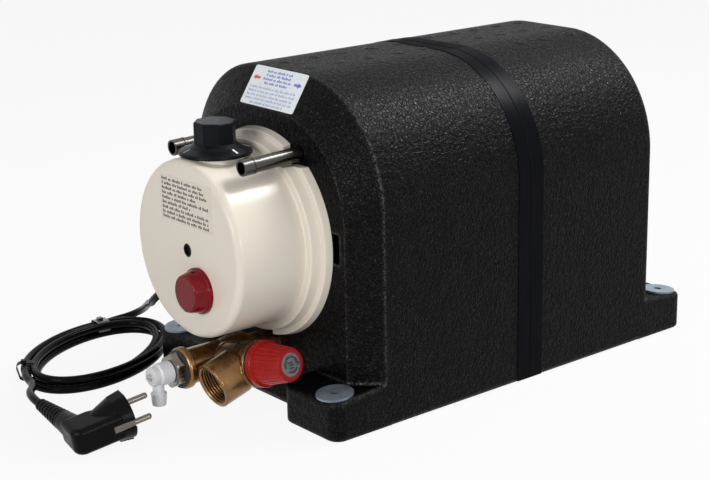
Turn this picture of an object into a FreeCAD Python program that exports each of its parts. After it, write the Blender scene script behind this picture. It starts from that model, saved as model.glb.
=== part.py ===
"""Electric water heater for a caravan: a foam-clad tank with its controls, drain valve and mains lead.

Millimetres. The origin is the centre of the four fixing holes, on the floor.
+Z is up, the control end faces -Y, and +X is to the right seen from that end.
"""
import FreeCAD, Part
import math
import os

from FreeCAD import Placement, Rotation, Vector

# Tank
TANK_AXIS_Z = 139.6
TANK_RADIUS = 104.0
TANK_WALL = 1.2
TANK_HALF_LENGTH = 146.0
TANK_KNUCKLE = 11.0
TANK_REAR_KNUCKLE = 34.0
TANK_OPENING_RADIUS = 50.0
FOAM_CLEARANCE = 0.5

# Foam housing, with its end walls in front of and behind the tank
END_WALL = 26.4
FRONT_FACE_Y = -(TANK_HALF_LENGTH + END_WALL)
REAR_FACE_Y = TANK_HALF_LENGTH + END_WALL
HOUSING_WIDTH = 250.0
HOUSING_HEIGHT = 271.0
SHOULDER_RADIUS = 97.5
CHAMFER_LENGTH = 20.0
CHAMFER_SIDE_INSET = 23.8
CHAMFER_TOP_INSET = 29.3
END_SHOULDER_RADIUS = 81.6
UNDERSIDE_LIFT = 1.5
SEAM_Y = 6.0
SILL_HEIGHT = 34.0
SILL_DEPTH = 9.6
TAPE_WIDTH = 28.0
TAPE_THICKNESS = 0.4
RECESS_WIDTH = 8.0
RECESS_HEIGHT = 24.0
RECESS_DEPTH = 6.0

# Feet and their fixing holes
FOOT_REACH = 31.85
HOLE_REACH = 17.6
HOLE_SPACING_X = 214.0
HOLE_SPACING_Y = 2 * (REAR_FACE_Y + HOLE_REACH)
FOOT_END_Y = REAR_FACE_Y + FOOT_REACH
HOLE_RADIUS = 3.3
FOOT_INNER_X = 56.0
FOOT_HEIGHT = 33.4
FOOT_SLOPE_DEG = 5.0
FOOT_CORNER_RADIUS = 11.0
FOOT_EDGE_RADIUS = 3.0
WASHER_RADIUS = 15.0
WASHER_THICKNESS = 1.6

# Flanged closure of the tank
FLANGE_RADIUS = 66.0
RING_THICKNESS = 6.0
GASKET_THICKNESS = 2.0
PLATE_THICKNESS = 4.0
BOLT_CIRCLE_RADIUS = 58.0
BOLT_COUNT = 6
BOLT_RADIUS = 3.0
BOLT_HEAD_RADIUS = 5.5
BOLT_HEAD_HEIGHT = 4.0
FIT_CLEARANCE = 0.05
SEAT_GAP = 0.3

# Heating element and sensor pocket
ELEMENT_RADIUS = 4.0
ELEMENT_LEG_X = 20.0
ELEMENT_Z = 125.0
ELEMENT_BEND_Y = TANK_HALF_LENGTH - 86
ELEMENT_TERMINAL_Y = -(TANK_HALF_LENGTH + 22)
POCKET_RADIUS = 4.0
POCKET_BORE = 3.2
POCKET_RISE = 20.0
POCKET_END_Y = -(TANK_HALF_LENGTH - 106)
POCKET_MOUTH_Y = -(TANK_HALF_LENGTH + 18)

# Water pipes
PIPE_X = 47.5
PIPE_FACE_Z = 212.4
PIPE_DROOP_DEG = 2.4
PIPE_RADIUS = 6.0
PIPE_BORE = 5.0
PIPE_END_Y = FRONT_FACE_Y - 55.8
PIPE_COLLAR_RADIUS = 6.5
PIPE_COLLAR_LENGTH = 8.8
PIPE_BEAD_LENGTH = 1.6
PIPE_INSIDE_Y = -(TANK_HALF_LENGTH - 46)
PIPE_INNER_BEND = 14.0
PIPE_BORE_CLEARANCE = 0.6

# Cover over the controls
COVER_FLANGE_RADIUS = 86.8
COVER_FLANGE_TAPER = 1.6
COVER_FLANGE_FRONT_Y = FRONT_FACE_Y - 6.7
COVER_RING_RADIUS = 80.5
COVER_RING_FRONT_RADIUS = 79.0
COVER_RING_FRONT_Y = FRONT_FACE_Y - 15.4
COVER_WALL_REAR_RADIUS = 72.6
COVER_WALL_FRONT_RADIUS = 72.0
COVER_FACE_Y = FRONT_FACE_Y - 78.1
COVER_THICKNESS = 2.5
COVER_EDGE_RADIUS = 6.0
PIPE_NOTCH_INNER_X = 36.0
PIPE_NOTCH_Z = 203.5
STUB_NOTCH_X = 13.2
STUB_NOTCH_TOP_Z = 59.0
KNOB_PAD_RADIUS = 24.0
KNOB_PAD_Z = 212.0

# Thermostat and its knob
KNOB_Y = COVER_FACE_Y + 31.9
KNOB_GAP = 0.5
KNOB_SKIRT_RADIUS = 29.4
KNOB_SKIRT_HEIGHT = 3.0
KNOB_GRIP_FOOT_Z = 221.0
KNOB_GRIP_RADIUS = 16.75
KNOB_GRIP_SIDES = 8
KNOB_TOP_Z = 238.5
SHAFT_RADIUS = 3.0
SHAFT_BOTTOM_Z = 188.0
SHAFT_TOP_Z = 232.0
BUSH_RADIUS = 5.0
THERMOSTAT_WIDTH = 36.0
THERMOSTAT_DEPTH = 30.0
THERMOSTAT_BOTTOM_Z = 172.0
THERMOSTAT_TOP_Z = 198.0
CAPILLARY_RADIUS = 1.0
BULB_RADIUS = 2.9
BULB_LENGTH = 50.0

# Thermal cut-out with its reset button
RESET_X = 1.5
RESET_HOLE_RADIUS = 5.5
RESET_BUTTON_RADIUS = 3.9
RESET_TRAVEL = 1.6
RESET_FACE_Y = COVER_FACE_Y + 1.9
RESET_LENGTH = 14.0
CUTOUT_RADIUS = 12.0
CUTOUT_FRONT_Y = COVER_FACE_Y + 4.5
CUTOUT_NOSE_Y = COVER_FACE_Y + 0.2
CUTOUT_NOSE_RADIUS = 5.3

# Pilot lamp
LAMP_X = 16.5
LAMP_Z = 110.0
LAMP_RING_RADIUS = 18.6
LAMP_RING_THICKNESS = 3.0
LAMP_LENS_RADIUS = 17.5
LAMP_FRONT_RADIUS = 14.9
LAMP_FRONT_Y = COVER_FACE_Y - 14
LAMP_WALL = 1.6
LAMP_HOLDER_RADIUS = 12.5
LAMP_HOLDER_REAR_Y = COVER_FACE_Y + 21.5
BULB_GLASS_RADIUS = 3.5
BULB_GLASS_FRONT_Y = LAMP_FRONT_Y + 4

# Bracket and terminal block behind the cover
BRACKET_THICKNESS = 2.0
BRACKET_HALF_WIDTH = 22.0
BRACKET_FRONT_Y = COVER_FACE_Y + 14.5
DROP_PLATE_Y = COVER_FACE_Y + 28.5
DROP_PLATE_BOTTOM_Z = 88.0
TERMINAL_WIDTH = 40.0
TERMINAL_DEPTH = 16.0
TERMINAL_HEIGHT = 17.0
TERMINAL_BOTTOM_Z = 92.0
TERMINAL_WAYS = 3

# Drain fitting and valve
VALVE_Z = 43.0
STUB_RADIUS = 12.5
STUB_BORE = 6.0
RISER_Y = -(TANK_HALF_LENGTH + 13.5)
RISER_RADIUS = 9.0
RISER_TOP_Z = 61.0
BRANCH_RADIUS = 8.0
BODY_REAR_Y = FRONT_FACE_Y - 24
BODY_REAR_RADIUS = 16.1
BODY_FRONT_RADIUS = 14.5
BODY_FRONT_Y = BODY_REAR_Y - 60.1
BODY_BORE = 7.0
BODY_BORE_END_Y = BODY_REAR_Y - 19.6
PORT_MOUTH_X = 31.2
PORT_MOUTH_Y = BODY_FRONT_Y + 3.2
PORT_MOUTH_Z = 34.4
PORT_TILT_DEG = 17.0
PORT_RADIUS = 18.8
PORT_BORE = 15.15
PORT_BORE_DEPTH = 15.0
PORT_LENGTH = 33.0
PORT_CHAMFER = 1.2
OUTLET_BORE = 4.5
OUTLET_OFFSET = 7.5
SPOT_FACE_MARGIN = 0.7

# Relief valve, along its own tilted axis from the centre of the barrel
BARREL_X = 31.2
BARREL_Y = BODY_REAR_Y - 22.5
BARREL_Z = 45.3
RELIEF_TURN_DEG = 6.4
RELIEF_RISE_DEG = 12.8
BARREL_RADIUS = 17.6
BARREL_BACK = 35.0
BARREL_RIDGE_RADIUS = 18.3
NECK_RADIUS = 16.6
NECK_RING_RADIUS = 19.0
NECK_RING_START = 14.3
NECK_RING_END = 17.2
SEAL_END = 18.5
CAP_START = 18.9
CAP_FLANGE_END = 25.0
CAP_END = 52.5
CAP_FLANGE_RADIUS = 18.8
CAP_CONE_RADIUS = 17.0
CAP_FRONT_RADIUS = 13.6
CAP_RIB_COUNT = 24
CAP_RIB_DEPTH = 0.8
CAP_BORE = 10.8
CAP_DISC_RADIUS = 9.4
CAP_DISC_THICKNESS = 1.2
SEAT_BORE = 9.0
INLET_BORE = 5.5
INLET_SETBACK = 31.0
BONNET_WALL = 1.4
BONNET_START = 13.5
BONNET_LID = 5.0
STEM_RADIUS = 2.5
POPPET_RADIUS = 7.2
POPPET_THICKNESS = 4.0
SPRING_RADIUS = 6.2
SPRING_WIRE = 0.8
SPRING_TURNS = 5
SPRING_START = 6.0
SPRING_END = 28.0

# Vent at the front of the valve
COLLAR_RADIUS = 17.0
COLLAR_LENGTH = 6.4
VENT_GASKET_RADIUS = 15.5
VENT_GASKET_THICKNESS = 1.4
HEX_ACROSS_FLATS = 25.0
HEX_LENGTH = 7.4
NOZZLE_GAP = 0.4
NOZZLE_RADIUS = 9.2
NOZZLE_FRONT_Y = BODY_FRONT_Y - 33.5
SPINDLE_RADIUS = 2.75
SPINDLE_FRONT_Y = NOZZLE_FRONT_Y - 3
SPOUT_Y = NOZZLE_FRONT_Y + 6.8
SPOUT_NECK_RADIUS = 4.7
SPOUT_BARB_RADIUS = 6.5
SPOUT_BARB_Z = 29.5
SPOUT_END_Z = 18.0
SPOUT_BORE = 2.4

# Cable gland on the cover wall
GLAND_Y = COVER_FACE_Y + 24.5
GLAND_ANGLE_DEG = 216.87
GLAND_TIP = 98.0
GLAND_PAD_RADIUS = 13.0
GLAND_PAD = 74.4
GLAND_NUT_FLATS = 20.0
GLAND_NUT_LENGTH = 6.0
GLAND_DOME_RADIUS = 9.2
GLAND_TIP_RADIUS = 6.4
GLAND_THREAD_RADIUS = 7.0
GLAND_INNER_END = 62.0
LOCK_NUT_THICKNESS = 4.0

# Mains cord, its coil and the ties round the coil
CORD_RADIUS = 3.4
COIL_CENTRE_X = -158.0
COIL_CENTRE_Y = FRONT_FACE_Y - 72.6
COIL_TURN_DEG = 117.5
COIL_LONG_RADIUS = 78.3
COIL_SHORT_RADIUS = 47.5
COIL_LIFT = 0.9
LAYER_RISE = 7.25
LANE_PITCH = 8.1
LANE_INNER = -6.6
LANE_ROUNDING = 0.07
COIL_START_DEG = 85.0
COIL_REVERSE_DEG = 630.0
COIL_LAST_QUARTER_DEG = 1170.0
COIL_LAST_SHARE = 0.45
TIE_PLACES = {"cord_tie_clear": (42.0, 12.0), "cord_tie_dark": (136.0, 7.0)}
TIE_THICKNESS = 0.6
TIE_GAP = 0.3
TIE_HEAD = 4.6

# Angled earthed plug, lying on its flank
PLUG_X = -1.5
PLUG_Y = NOZZLE_FRONT_Y - 63.7
PLUG_Z = 13.6
PLUG_PIN_DIRECTION = Vector(0.150, 0.968, 0.175)
PLUG_CORD_DIRECTION = Vector(-0.9987, 0.023, 0.046)
PLUG_FACE = 39.0
PLUG_RIM_RADIUS = 18.7
PLUG_RIM_DEPTH = 12.0
PLUG_WAIST = 13.0
PLUG_BACK = 11.9
PLUG_SIDE = 17.6
PLUG_THUMB_NOTCH = 9.5
PLUG_GRIP_EDGE = 5.0
PLUG_PAD_REAR_REACH = 17.8
PLUG_PAD_FRONT_REACH = 19.7
PLUG_PAD_WIDTH = 12.0
PLUG_WAIST_RADIUS = 12.6
PLUG_BACK_RADIUS = 11.3
PLUG_NECK_LENGTH = 27.0
PLUG_NECK_RADIUS = 8.4
RELIEF_LENGTH = 65.0
RELIEF_TIP_RADIUS = 5.2
RELIEF_RIB_COUNT = 7
PIN_RADIUS = 2.4
PIN_LENGTH = 19.0
PIN_SPACING = 19.0
PIN_ROOT = 8.0
EARTH_HOLE_RADIUS = 2.6
EARTH_HOLE_OFFSET = 10.0
EARTH_HOLE_DEPTH = 15.0
CLIP_WIDTH = 6.0
CLIP_THICKNESS = 1.2
CLIP_LENGTH = 18.0
CLIP_SLOT_DEPTH = 3.2

EAST = Vector(1, 0, 0)
NORTH = Vector(0, 1, 0)
SOUTH = Vector(0, -1, 0)
UP = Vector(0, 0, 1)
DOWN = Vector(0, 0, -1)


# Helpers for outlines and solids

def save(name, shape):
    """Write one node's solids."""
    merged = shape.copy().removeSplitter() if len(shape.Solids) == 1 else shape
    shape = merged if merged.isValid() else shape
    box = shape.optimalBoundingBox(False, False)
    print(f"{name:24s} solids {len(shape.Solids)} valid {shape.isValid()} z from {box.ZMin:.2f}")
    shape.exportStep(f"parts/{name}.step")
    return shape


def rod(start, direction, length, radius):
    return Part.makeCylinder(radius, length, start, direction)


def pipe(start, direction, length, outer, inner):
    return rod(start, direction, length, outer).cut(rod(start, direction, length, inner))


def block(x_range, y_range, z_range):
    corner = Vector(x_range[0], y_range[0], z_range[0])
    size = Vector(x_range[1], y_range[1], z_range[1]) - corner
    return Part.makeBox(size.x, size.y, size.z, corner)


def join(shapes):
    first, rest = shapes[0], shapes[1:]
    return first.multiFuse(rest) if rest else first


def outline(corners):
    """Closed flat wire through corners (u, v) or (u, v, radius), rounded where a radius is given."""
    points = [Vector(corner[0], corner[1], 0) for corner in corners]
    radii = [corner[2] if len(corner) > 2 else 0.0 for corner in corners]
    cuts = []
    for index, here in enumerate(points):
        before = points[index - 1]
        after = points[(index + 1) % len(points)]
        back = (before - here).normalize()
        ahead = (after - here).normalize()
        half = back.getAngle(ahead) / 2
        if radii[index] == 0:
            cuts.append((here, None, here))
            continue
        reach = radii[index] / math.tan(half)
        centre = here + (back + ahead).normalize() * (radii[index] / math.sin(half))
        middle = centre + (here - centre).normalize() * radii[index]
        cuts.append((here + back * reach, middle, here + ahead * reach))
    edges = []
    for index, (start, middle, end) in enumerate(cuts):
        previous_end = cuts[index - 1][2]
        if (start - previous_end).Length > 1e-6:
            edges.append(Part.LineSegment(previous_end, start).toShape())
        if middle is not None:
            edges.append(Part.Arc(start, middle, end).toShape())
    return Part.Wire(edges)


def turned(corners, start, direction):
    """Solid of revolution from corners (radius, distance along the axis[, rounding])."""
    solid = Part.Face(outline(corners)).revolve(Vector(0, 0, 0), NORTH, 360)
    solid.Placement = Placement(start, Rotation(NORTH, direction))
    return solid


def extruded(corners, axis, start, end):
    """Prism of an outline: (y, z) along x, (x, z) along y or (x, y) along z."""
    face = Part.Face(outline(corners))
    if axis == "x":
        turn = FreeCAD.Matrix(0, 0, 1, start, 1, 0, 0, 0, 0, 1, 0, 0, 0, 0, 0, 1)
        travel = EAST
    elif axis == "y":
        turn = FreeCAD.Matrix(1, 0, 0, 0, 0, 0, -1, start, 0, 1, 0, 0, 0, 0, 0, 1)
        travel = NORTH
    else:
        turn = FreeCAD.Matrix(1, 0, 0, 0, 0, 1, 0, 0, 0, 0, 1, start, 0, 0, 0, 1)
        travel = UP
    face = face.transformGeometry(turn) if axis == "y" else face
    if axis != "y":
        face.Placement = Placement(turn)
    return face.extrude(travel * (end - start))


def regular_prism(sides, corner_radius, start, direction, length, first_deg=0.0):
    """Prism over a regular polygon, square to its direction."""
    corners = []
    for index in range(sides):
        angle = math.radians(first_deg) + 2 * math.pi * index / sides
        corners.append((corner_radius * math.cos(angle), corner_radius * math.sin(angle)))
    prism = Part.Face(outline(corners)).extrude(UP * length)
    prism.Placement = Placement(start, Rotation(UP, direction))
    return prism


def mirrored(shape):
    return shape.mirror(Vector(0, 0, 0), EAST)


def route(points):
    """Straight runs joined by tangent arcs, each as large as its two runs allow."""
    edges = []
    radii = []
    last = points[0]
    for before, here, after in zip(points, points[1:], points[2:]):
        back = (before - here)
        ahead = (after - here)
        reach = 0.45 * min(back.Length, ahead.Length)
        back = back.normalize()
        ahead = ahead.normalize()
        half_turn = (math.pi - back.getAngle(ahead)) / 2
        radius = reach / math.tan(half_turn)
        centre = here + (back + ahead).normalize() * (radius / math.cos(half_turn))
        middle = centre + (here - centre).normalize() * radius
        start = here + back * reach
        end = here + ahead * reach
        edges.append(Part.LineSegment(last, start).toShape())
        edges.append(Part.Arc(start, middle, end).toShape())
        radii.append(radius)
        last = end
    edges.append(Part.LineSegment(last, points[-1]).toShape())
    return Part.Wire(edges), radii


def swept(wire, radius, start, direction):
    circle = Part.Wire([Part.Circle(start, direction, radius).toShape()])
    return wire.makePipeShell([circle], True, False)


def cord_along(name, points):
    """A free stretch of cord as a tube along a hand-chosen route."""
    wire, radii = route(points)
    tube = swept(wire, CORD_RADIUS, points[0], points[1] - points[0])
    expected = wire.Length * math.pi * CORD_RADIUS ** 2
    print(name, "length", round(wire.Length, 1), "radii", [round(radius, 1) for radius in radii],
          "volume ratio", round(tube.Volume / expected, 4))
    return save(name, tube)


def biarc(start, start_heading, end, end_heading):
    """Two tangent arcs between two places with given unit headings."""
    chord = end - start
    headings = start_heading + end_heading
    a = headings.dot(headings) - 4
    b = -2 * chord.dot(headings)
    c = chord.dot(chord)
    reach = (-b - math.sqrt(b * b - 4 * a * c)) / (2 * a)
    first_control = start + start_heading * reach
    second_control = end - end_heading * reach
    joint = (first_control + second_control) * 0.5
    arcs = []
    for near, control, far in ((start, first_control, joint), (joint, second_control, end)):
        middle = (near + far) * 0.5
        rise = control - middle
        half = (far - near).Length / 2
        sagitta = half * rise.Length / (math.sqrt(half ** 2 + rise.Length ** 2) + half)
        arcs.append(Part.Arc(near, middle + rise.normalize() * sagitta, far).toShape())
    return arcs


# Housing

def section(y, width, height, shoulder):
    """Tombstone outline across the housing at one y."""
    half = width / 2
    corners = [(-half, UNDERSIDE_LIFT), (half, UNDERSIDE_LIFT),
               (half, height, shoulder), (-half, height, shoulder)]
    wire = outline(corners)
    return wire.transformGeometry(FreeCAD.Matrix(1, 0, 0, 0, 0, 0, -1, y, 0, 1, 0, 0, 0, 0, 0, 1))


def full_section(y, growth=0.0):
    return section(y, HOUSING_WIDTH + 2 * growth, HOUSING_HEIGHT + growth, SHOULDER_RADIUS + growth)


def end_section(y):
    width = HOUSING_WIDTH - 2 * CHAMFER_SIDE_INSET
    return section(y, width, HOUSING_HEIGHT - CHAMFER_TOP_INSET, END_SHOULDER_RADIUS)


def foot_blank(side, end):
    """One foot: a rounded plan with a top that falls towards the end of the housing."""
    outer = HOUSING_WIDTH / 2
    root = REAR_FACE_Y - CHAMFER_LENGTH - 6
    plan = extruded([(FOOT_INNER_X, root), (outer, root),
                     (outer, FOOT_END_Y, FOOT_CORNER_RADIUS),
                     (FOOT_INNER_X, FOOT_END_Y, FOOT_CORNER_RADIUS)], "z", 0, HOUSING_HEIGHT / 4)
    slope = math.tan(math.radians(FOOT_SLOPE_DEG))
    hole_y = HOLE_SPACING_Y / 2
    top_at_root = FOOT_HEIGHT + slope * (hole_y - root)
    top_at_end = FOOT_HEIGHT - slope * (FOOT_END_Y + 1 - hole_y)
    flank = extruded([(root, 0), (FOOT_END_Y + 1, 0), (FOOT_END_Y + 1, top_at_end),
                      (root, top_at_root)], "x", FOOT_INNER_X - 1, outer + 1)
    blank = plan.common(flank)
    outline_edges = [edge for edge in blank.Edges
                     if edge.BoundBox.YMax > root + 1 and edge.BoundBox.ZLength < 6]
    blank = blank.makeFillet(FOOT_EDGE_RADIUS, outline_edges)
    blank = blank.mirror(Vector(0, 0, 0), NORTH) if end < 0 else blank
    return mirrored(blank) if side < 0 else blank


def fixing_hole(side, end):
    centre = Vector(side * HOLE_SPACING_X / 2, end * HOLE_SPACING_Y / 2, -1)
    return rod(centre, UP, FOOT_HEIGHT * 2, HOLE_RADIUS)


def sill(end):
    """Sloping skirt of the housing between the two feet of one end."""
    face_y = abs(FRONT_FACE_Y)
    wedge = extruded([(face_y - 10, UNDERSIDE_LIFT), (face_y + SILL_DEPTH, UNDERSIDE_LIFT),
                      (face_y, SILL_HEIGHT), (face_y - 10, SILL_HEIGHT)],
                     "x", -FOOT_INNER_X - 2, FOOT_INNER_X + 2)
    return wedge.mirror(Vector(0, 0, 0), NORTH) if end < 0 else wedge


def housing_half(end):
    """Outer form of the front (end -1) or rear (end 1) foam shell, with its feet."""
    face_y = FRONT_FACE_Y if end < 0 else REAR_FACE_Y
    edge_y = face_y - end * CHAMFER_LENGTH
    trunk = Part.makeLoft([full_section(SEAM_Y), full_section(edge_y)], True, True)
    nose = Part.makeLoft([full_section(edge_y), end_section(face_y)], True, True)
    feet = [foot_blank(side, end) for side in (-1, 1)]
    half = join([trunk, nose, sill(end)] + feet)
    return half.cut(join([fixing_hole(side, end) for side in (-1, 1)]))


def tank_form(growth):
    """Outside of the tank, grown by a clearance where foam is to be cut for it."""
    radius = TANK_RADIUS + growth
    reach = TANK_HALF_LENGTH + growth
    return turned([(0, -reach), (radius, -reach, TANK_KNUCKLE + growth),
                   (radius, reach, TANK_REAR_KNUCKLE + growth), (0, reach)],
                  Vector(0, 0, TANK_AXIS_Z), NORTH)


def pipe_direction():
    angle = math.radians(PIPE_DROOP_DEG)
    return Vector(0, -math.cos(angle), -math.sin(angle))


def pipe_point(side, y):
    """Point on the axis of one water pipe."""
    fall = (FRONT_FACE_Y - y) * math.tan(math.radians(PIPE_DROOP_DEG))
    return Vector(side * PIPE_X, y, PIPE_FACE_Z - fall)


def pipe_bore(side, radius, from_y, to_y):
    length = (from_y - to_y) / math.cos(math.radians(PIPE_DROOP_DEG))
    return rod(pipe_point(side, from_y), pipe_direction(), length, radius)


def drain_form(growth):
    """Outside of the fitting that leads from the tank head to the valve."""
    axis_z = VALVE_Z
    stub_start = RISER_Y + RISER_RADIUS
    stub = rod(Vector(0, stub_start, axis_z), SOUTH, stub_start - BODY_REAR_Y, STUB_RADIUS + growth)
    riser = rod(Vector(0, RISER_Y, axis_z), UP, RISER_TOP_Z - axis_z, RISER_RADIUS + growth)
    elbow = Part.makeSphere(RISER_RADIUS + growth, Vector(0, RISER_Y, RISER_TOP_Z))
    branch_length = RISER_Y * -1 - TANK_HALF_LENGTH + 1.5
    branch = rod(Vector(0, RISER_Y, RISER_TOP_Z), NORTH, branch_length, BRANCH_RADIUS + growth)
    return join([stub, riser, elbow, branch])


def flange_stack():
    """Places along y of the ring, gasket and plate, from the tank head outwards."""
    ring = -TANK_HALF_LENGTH
    gasket = ring - RING_THICKNESS
    plate = gasket - GASKET_THICKNESS
    front = plate - PLATE_THICKNESS
    return ring, gasket, plate, front


def make_housing():
    cavity = tank_form(FOAM_CLEARANCE)
    bore = rod(Vector(0, -TANK_HALF_LENGTH + 5, TANK_AXIS_Z), SOUTH, 60, FLANGE_RADIUS + 1.5)
    front = housing_half(-1).cut(cavity).cut(bore)
    for side in (-1, 1):
        front = front.cut(pipe_bore(side, PIPE_RADIUS + PIPE_BORE_CLEARANCE, PIPE_INSIDE_Y, PIPE_END_Y))
        inner = COVER_FLANGE_RADIUS - 7
        outer = COVER_FLANGE_RADIUS + RECESS_WIDTH
        x_range = (inner, outer) if side > 0 else (-outer, -inner)
        z_middle = TANK_AXIS_Z + 4
        z_range = (z_middle - RECESS_HEIGHT / 2, z_middle + RECESS_HEIGHT / 2)
        front = front.cut(block(x_range, (FRONT_FACE_Y - 1, FRONT_FACE_Y + RECESS_DEPTH), z_range))
    front = front.cut(drain_form(FOAM_CLEARANCE))
    riser_half = RISER_RADIUS + FOAM_CLEARANCE
    front = front.cut(block((-riser_half, riser_half), (RISER_Y - RISER_RADIUS, -TANK_HALF_LENGTH),
                            (VALVE_Z, RISER_TOP_Z + RISER_RADIUS + 1)))
    save("front_shell", front)
    save("rear_shell", housing_half(1).cut(cavity))
    first = SEAM_Y - TAPE_WIDTH / 2
    last = SEAM_Y + TAPE_WIDTH / 2
    sections = [full_section(first, TAPE_THICKNESS), full_section(last, TAPE_THICKNESS)]
    band = Part.makeLoft(sections, True, True)
    band.translate(DOWN * TAPE_THICKNESS)
    grown = Part.makeLoft(sections, True, True)
    core = Part.makeLoft([full_section(first - 1), full_section(last + 1)], True, True)
    save("seam_tape", band.fuse(grown).cut(core))


def make_washers():
    names = {(-1, -1): "front_left", (1, -1): "front_right", (-1, 1): "rear_left", (1, 1): "rear_right"}
    angle = math.radians(FOOT_SLOPE_DEG)
    for (side, end), place in names.items():
        normal = Vector(0, end * math.sin(angle), math.cos(angle))
        seat = Vector(side * HOLE_SPACING_X / 2, end * HOLE_SPACING_Y / 2, FOOT_HEIGHT)
        disc = rod(seat, normal, WASHER_THICKNESS, WASHER_RADIUS)
        hole = rod(seat - normal * 5, normal, WASHER_THICKNESS + 10, HOLE_RADIUS)
        save(f"foot_washer_{place}", disc.cut(hole))


# Tank with its closure

def make_tank():
    outer = tank_form(0)
    inner = tank_form(-TANK_WALL)
    opening = rod(Vector(0, -TANK_HALF_LENGTH - 1, TANK_AXIS_Z), NORTH, 20, TANK_OPENING_RADIUS)
    tank = outer.cut(inner).cut(opening)
    for side in (-1, 1):
        tank = tank.cut(pipe_bore(side, PIPE_RADIUS + FIT_CLEARANCE, PIPE_INSIDE_Y, RISER_Y))
    branch = rod(Vector(0, -TANK_HALF_LENGTH - 5, RISER_TOP_Z), NORTH, 30, STUB_BORE)
    save("tank", tank.cut(branch))


def bolt_places():
    for index in range(BOLT_COUNT):
        angle = 2 * math.pi * (index + 0.5) / BOLT_COUNT
        yield Vector(BOLT_CIRCLE_RADIUS * math.cos(angle), 0, BOLT_CIRCLE_RADIUS * math.sin(angle))


def make_closure():
    ring_y, gasket_y, plate_y, front_y = flange_stack()
    centre = Vector(0, 0, TANK_AXIS_Z)
    bolts = []
    holes = []
    for place in bolt_places():
        head = Vector(place.x, front_y, centre.z + place.z)
        corner = BOLT_HEAD_RADIUS / math.cos(math.pi / 6)
        shank_length = ring_y - front_y - 1
        hexagon = regular_prism(6, corner, head, SOUTH, BOLT_HEAD_HEIGHT)
        bolts.append(hexagon.fuse(rod(head, NORTH, shank_length, BOLT_RADIUS)))
        holes.append(rod(head + NORTH * (ring_y - front_y), SOUTH, 20, BOLT_RADIUS + FIT_CLEARANCE))
    hole_set = join(holes)
    ring = pipe(centre + NORTH * ring_y, SOUTH, RING_THICKNESS, FLANGE_RADIUS, TANK_OPENING_RADIUS)
    save("tank_flange_ring", ring.cut(hole_set))
    gasket = pipe(centre + NORTH * gasket_y, SOUTH, GASKET_THICKNESS, FLANGE_RADIUS - 1,
                  TANK_OPENING_RADIUS - 4)
    save("flange_gasket", gasket.cut(hole_set))
    plate = rod(centre + NORTH * plate_y, SOUTH, PLATE_THICKNESS, FLANGE_RADIUS).cut(hole_set)
    for x in (-ELEMENT_LEG_X, ELEMENT_LEG_X):
        plate = plate.cut(rod(Vector(x, plate_y + 1, ELEMENT_Z), SOUTH, 10, ELEMENT_RADIUS + FIT_CLEARANCE))
    pocket_z = TANK_AXIS_Z + POCKET_RISE
    plate = plate.cut(rod(Vector(0, plate_y + 1, pocket_z), SOUTH, 10, POCKET_RADIUS + FIT_CLEARANCE))
    save("flange_plate", plate)
    save("flange_bolts", Part.makeCompound(bolts))


def make_element():
    """Hairpin heater: two legs, a half-circle bend and a terminal on each leg."""
    left = Vector(-ELEMENT_LEG_X, ELEMENT_TERMINAL_Y, ELEMENT_Z)
    right = Vector(ELEMENT_LEG_X, ELEMENT_TERMINAL_Y, ELEMENT_Z)
    left_end = Vector(-ELEMENT_LEG_X, ELEMENT_BEND_Y, ELEMENT_Z)
    right_end = Vector(ELEMENT_LEG_X, ELEMENT_BEND_Y, ELEMENT_Z)
    crown = Vector(0, ELEMENT_BEND_Y + ELEMENT_LEG_X, ELEMENT_Z)
    wire = Part.Wire([Part.LineSegment(left, left_end).toShape(),
                      Part.Arc(left_end, crown, right_end).toShape(),
                      Part.LineSegment(right_end, right).toShape()])
    rods = swept(wire, ELEMENT_RADIUS, left, NORTH)
    tabs = []
    for end in (left, right):
        tabs.append(block((end.x - 3, end.x + 3), (end.y - 9, end.y + 1), (end.z - 0.5, end.z + 0.5)))
    save("heating_element", join([rods] + tabs))


def make_pocket_and_bulb():
    pocket_z = TANK_AXIS_Z + POCKET_RISE
    mouth = Vector(0, POCKET_MOUTH_Y, pocket_z)
    length = POCKET_END_Y - POCKET_MOUTH_Y
    pocket = rod(mouth, NORTH, length, POCKET_RADIUS)
    pocket = pocket.cut(rod(mouth, NORTH, length - 2, POCKET_BORE))
    save("sensor_pocket", pocket)
    bulb_start = POCKET_END_Y - BULB_LENGTH - 10
    bulb = rod(Vector(0, bulb_start, pocket_z), NORTH, BULB_LENGTH, BULB_RADIUS)
    thermostat_rear = KNOB_Y + THERMOSTAT_DEPTH / 2
    tail_z = THERMOSTAT_BOTTOM_Z + 6
    points = [Vector(0, bulb_start + 5, pocket_z), Vector(0, POCKET_MOUTH_Y - 14, pocket_z),
              Vector(0, POCKET_MOUTH_Y - 24, tail_z), Vector(0, thermostat_rear, tail_z)]
    wire, _ = route(points)
    save("sensing_capillary", bulb.fuse(swept(wire, CAPILLARY_RADIUS, points[0], SOUTH)))


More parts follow.
